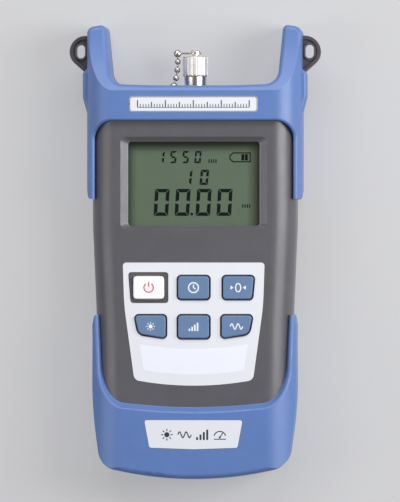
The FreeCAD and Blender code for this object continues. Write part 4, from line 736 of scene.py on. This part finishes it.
def ball_chain():
    """Beads on thin links between the two clasps."""
    tab_low, tab_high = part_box("chain_tab")
    anchor_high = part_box("anchor_tab")[1]
    start = Vector((tab_low.x + CLASP_RADIUS, tab_high.y - CLASP_RADIUS, (tab_low.z + tab_high.z) / 2))
    end = Vector((anchor_high.x - CLASP_RADIUS, anchor_high.y - CLASP_RADIUS, anchor_high.z - CLASP_RADIUS))
    spans = FREE_BEADS + 1
    centres = []
    for i in range(spans + 1):
        t = i / spans
        slack = 4 * t * (1 - t)
        centres.append(start.lerp(end, t) + Vector((CHAIN_BOW, 0, -CHAIN_SAG)) * slack)
    for i in range(1, spans):
        build = bmesh.new()
        bmesh.ops.create_uvsphere(build, u_segments=32, v_segments=20, radius=BEAD_RADIUS,
                                  matrix=Matrix.Translation(centres[i]))
        chain_piece("chain_bead_%d" % i, build, *even_pull(centres[i], 1 - i / spans))
    build = bmesh.new()
    for a, b in zip(centres, centres[1:]):
        turn = (b - a).to_track_quat("Z", "Y").to_matrix().to_4x4()
        bmesh.ops.create_cone(build, segments=12, cap_ends=True, radius1=LINK_RADIUS, radius2=LINK_RADIUS,
                              depth=(b - a).length, matrix=Matrix.Translation((a + b) / 2) @ turn)
    chain_piece("chain_links", build, end, start)


# ---- stage ----

GROUND_TONE = tone(203, 203, 205)
GROUND_SHARE = 0.58           # share of the ground's paleness that is its own
FLOOR_REACH = 1.5             # from the middle of the floor to its sides
FLOOR_GAP = 0.03 * MM         # between the floor and the meter's back
LAMP_TARGET = Vector((0, 0, 0.02))
# Each lamp's place, its width and depth, and its power in watts.
LAMPS = {
    "key": ((0.55, 0.1, 0.48), (0.3, 0.6), 4.9),
    "top": ((-0.05, 0.6, 0.52), (0.7, 0.3), 3.7),
    "fill": ((-0.6, -0.05, 0.52), (0.3, 0.6), 1.6),
}
SKY_TONE = tone(205, 206, 210)
SKY_STRENGTH = 0.3
VIEW_DISTANCE = 2.5
VIEW_TURN = math.radians(2.6)
VIEW_HEIGHT = 0.1941          # stretch of the scene between the top and the foot of the view
VIEW_CENTRE = Vector((0.002, 0.0003, 0.022))


def pale_ground():
    """Even grey ground; only the camera, mirrors and clear pieces see the paleness that is its own."""
    material, tree, shader = new_finish("Floor", Roughness=0.6)
    shade = grouped(tree, DRIFT, {"Color": GROUND_TONE, "Cell": 0.3, "Amount": 0.01})
    tree.links.new(shade, shader["Base Color"])
    rays = place(tree, "ShaderNodeLightPath").outputs
    mirrored = maths(tree, "MAXIMUM", rays["Is Glossy Ray"], rays["Is Transmission Ray"])
    seen = maths(tree, "MAXIMUM", rays["Is Camera Ray"], mirrored)
    share = maths(tree, "MULTIPLY", seen, GROUND_SHARE)
    own = place(tree, "ShaderNodeEmission", {"Color": shade, "Strength": 1.0}).outputs["Emission"]
    lit = tree.nodes["Principled BSDF"].outputs["BSDF"]
    mix = place(tree, "ShaderNodeMixShader", {0: share, 1: lit, 2: own})
    tree.links.new(mix.outputs["Shader"], tree.nodes["Material Output"].inputs["Surface"])
    return material


def floor():
    """Pale floor that the meter lies on."""
    build = bmesh.new()
    bmesh.ops.create_grid(build, x_segments=1, y_segments=1, size=FLOOR_REACH)
    piece = add_piece("floor", build, pale_ground())
    piece.location.z = CAD_BOX[0].z - FLOOR_GAP


def lamps():
    """Soft lamps that all face the meter."""
    for name, (position, size, power) in LAMPS.items():
        light = bpy.data.lights.new(name, "AREA")
        light.shape = "RECTANGLE"
        light.size, light.size_y = size
        light.energy = power
        lamp = add_object(name, light)
        lamp.location = position
        lamp.rotation_euler = (LAMP_TARGET - Vector(position)).to_track_quat("-Z", "Y").to_euler()


def sky():
    """Even light from all round."""
    world = bpy.data.worlds.new("studio")
    bpy.context.scene.world = world
    world.use_nodes = True
    background = world.node_tree.nodes["Background"]
    background.inputs["Color"].default_value = SKY_TONE
    background.inputs["Strength"].default_value = SKY_STRENGTH


def camera():
    """Long lens that looks almost straight down on the face."""
    data = bpy.data.cameras.new("camera")
    data.sensor_fit = "VERTICAL"
    data.angle_y = 2 * math.atan(VIEW_HEIGHT / 2 / VIEW_DISTANCE)
    eye = add_object("camera", data)
    direction = Vector((math.sin(VIEW_TURN), 0, math.cos(VIEW_TURN)))
    eye.location = VIEW_CENTRE + direction * VIEW_DISTANCE
    eye.rotation_euler = (0, VIEW_TURN, 0)
    bpy.context.scene.camera = eye


dress_nodes()
display()
key_legends()
title_scale()
foot_marks()
bright_field()
ball_chain()
floor()
lamps()
sky()
camera()
bpy.context.scene.view_settings.view_transform = "Standard"
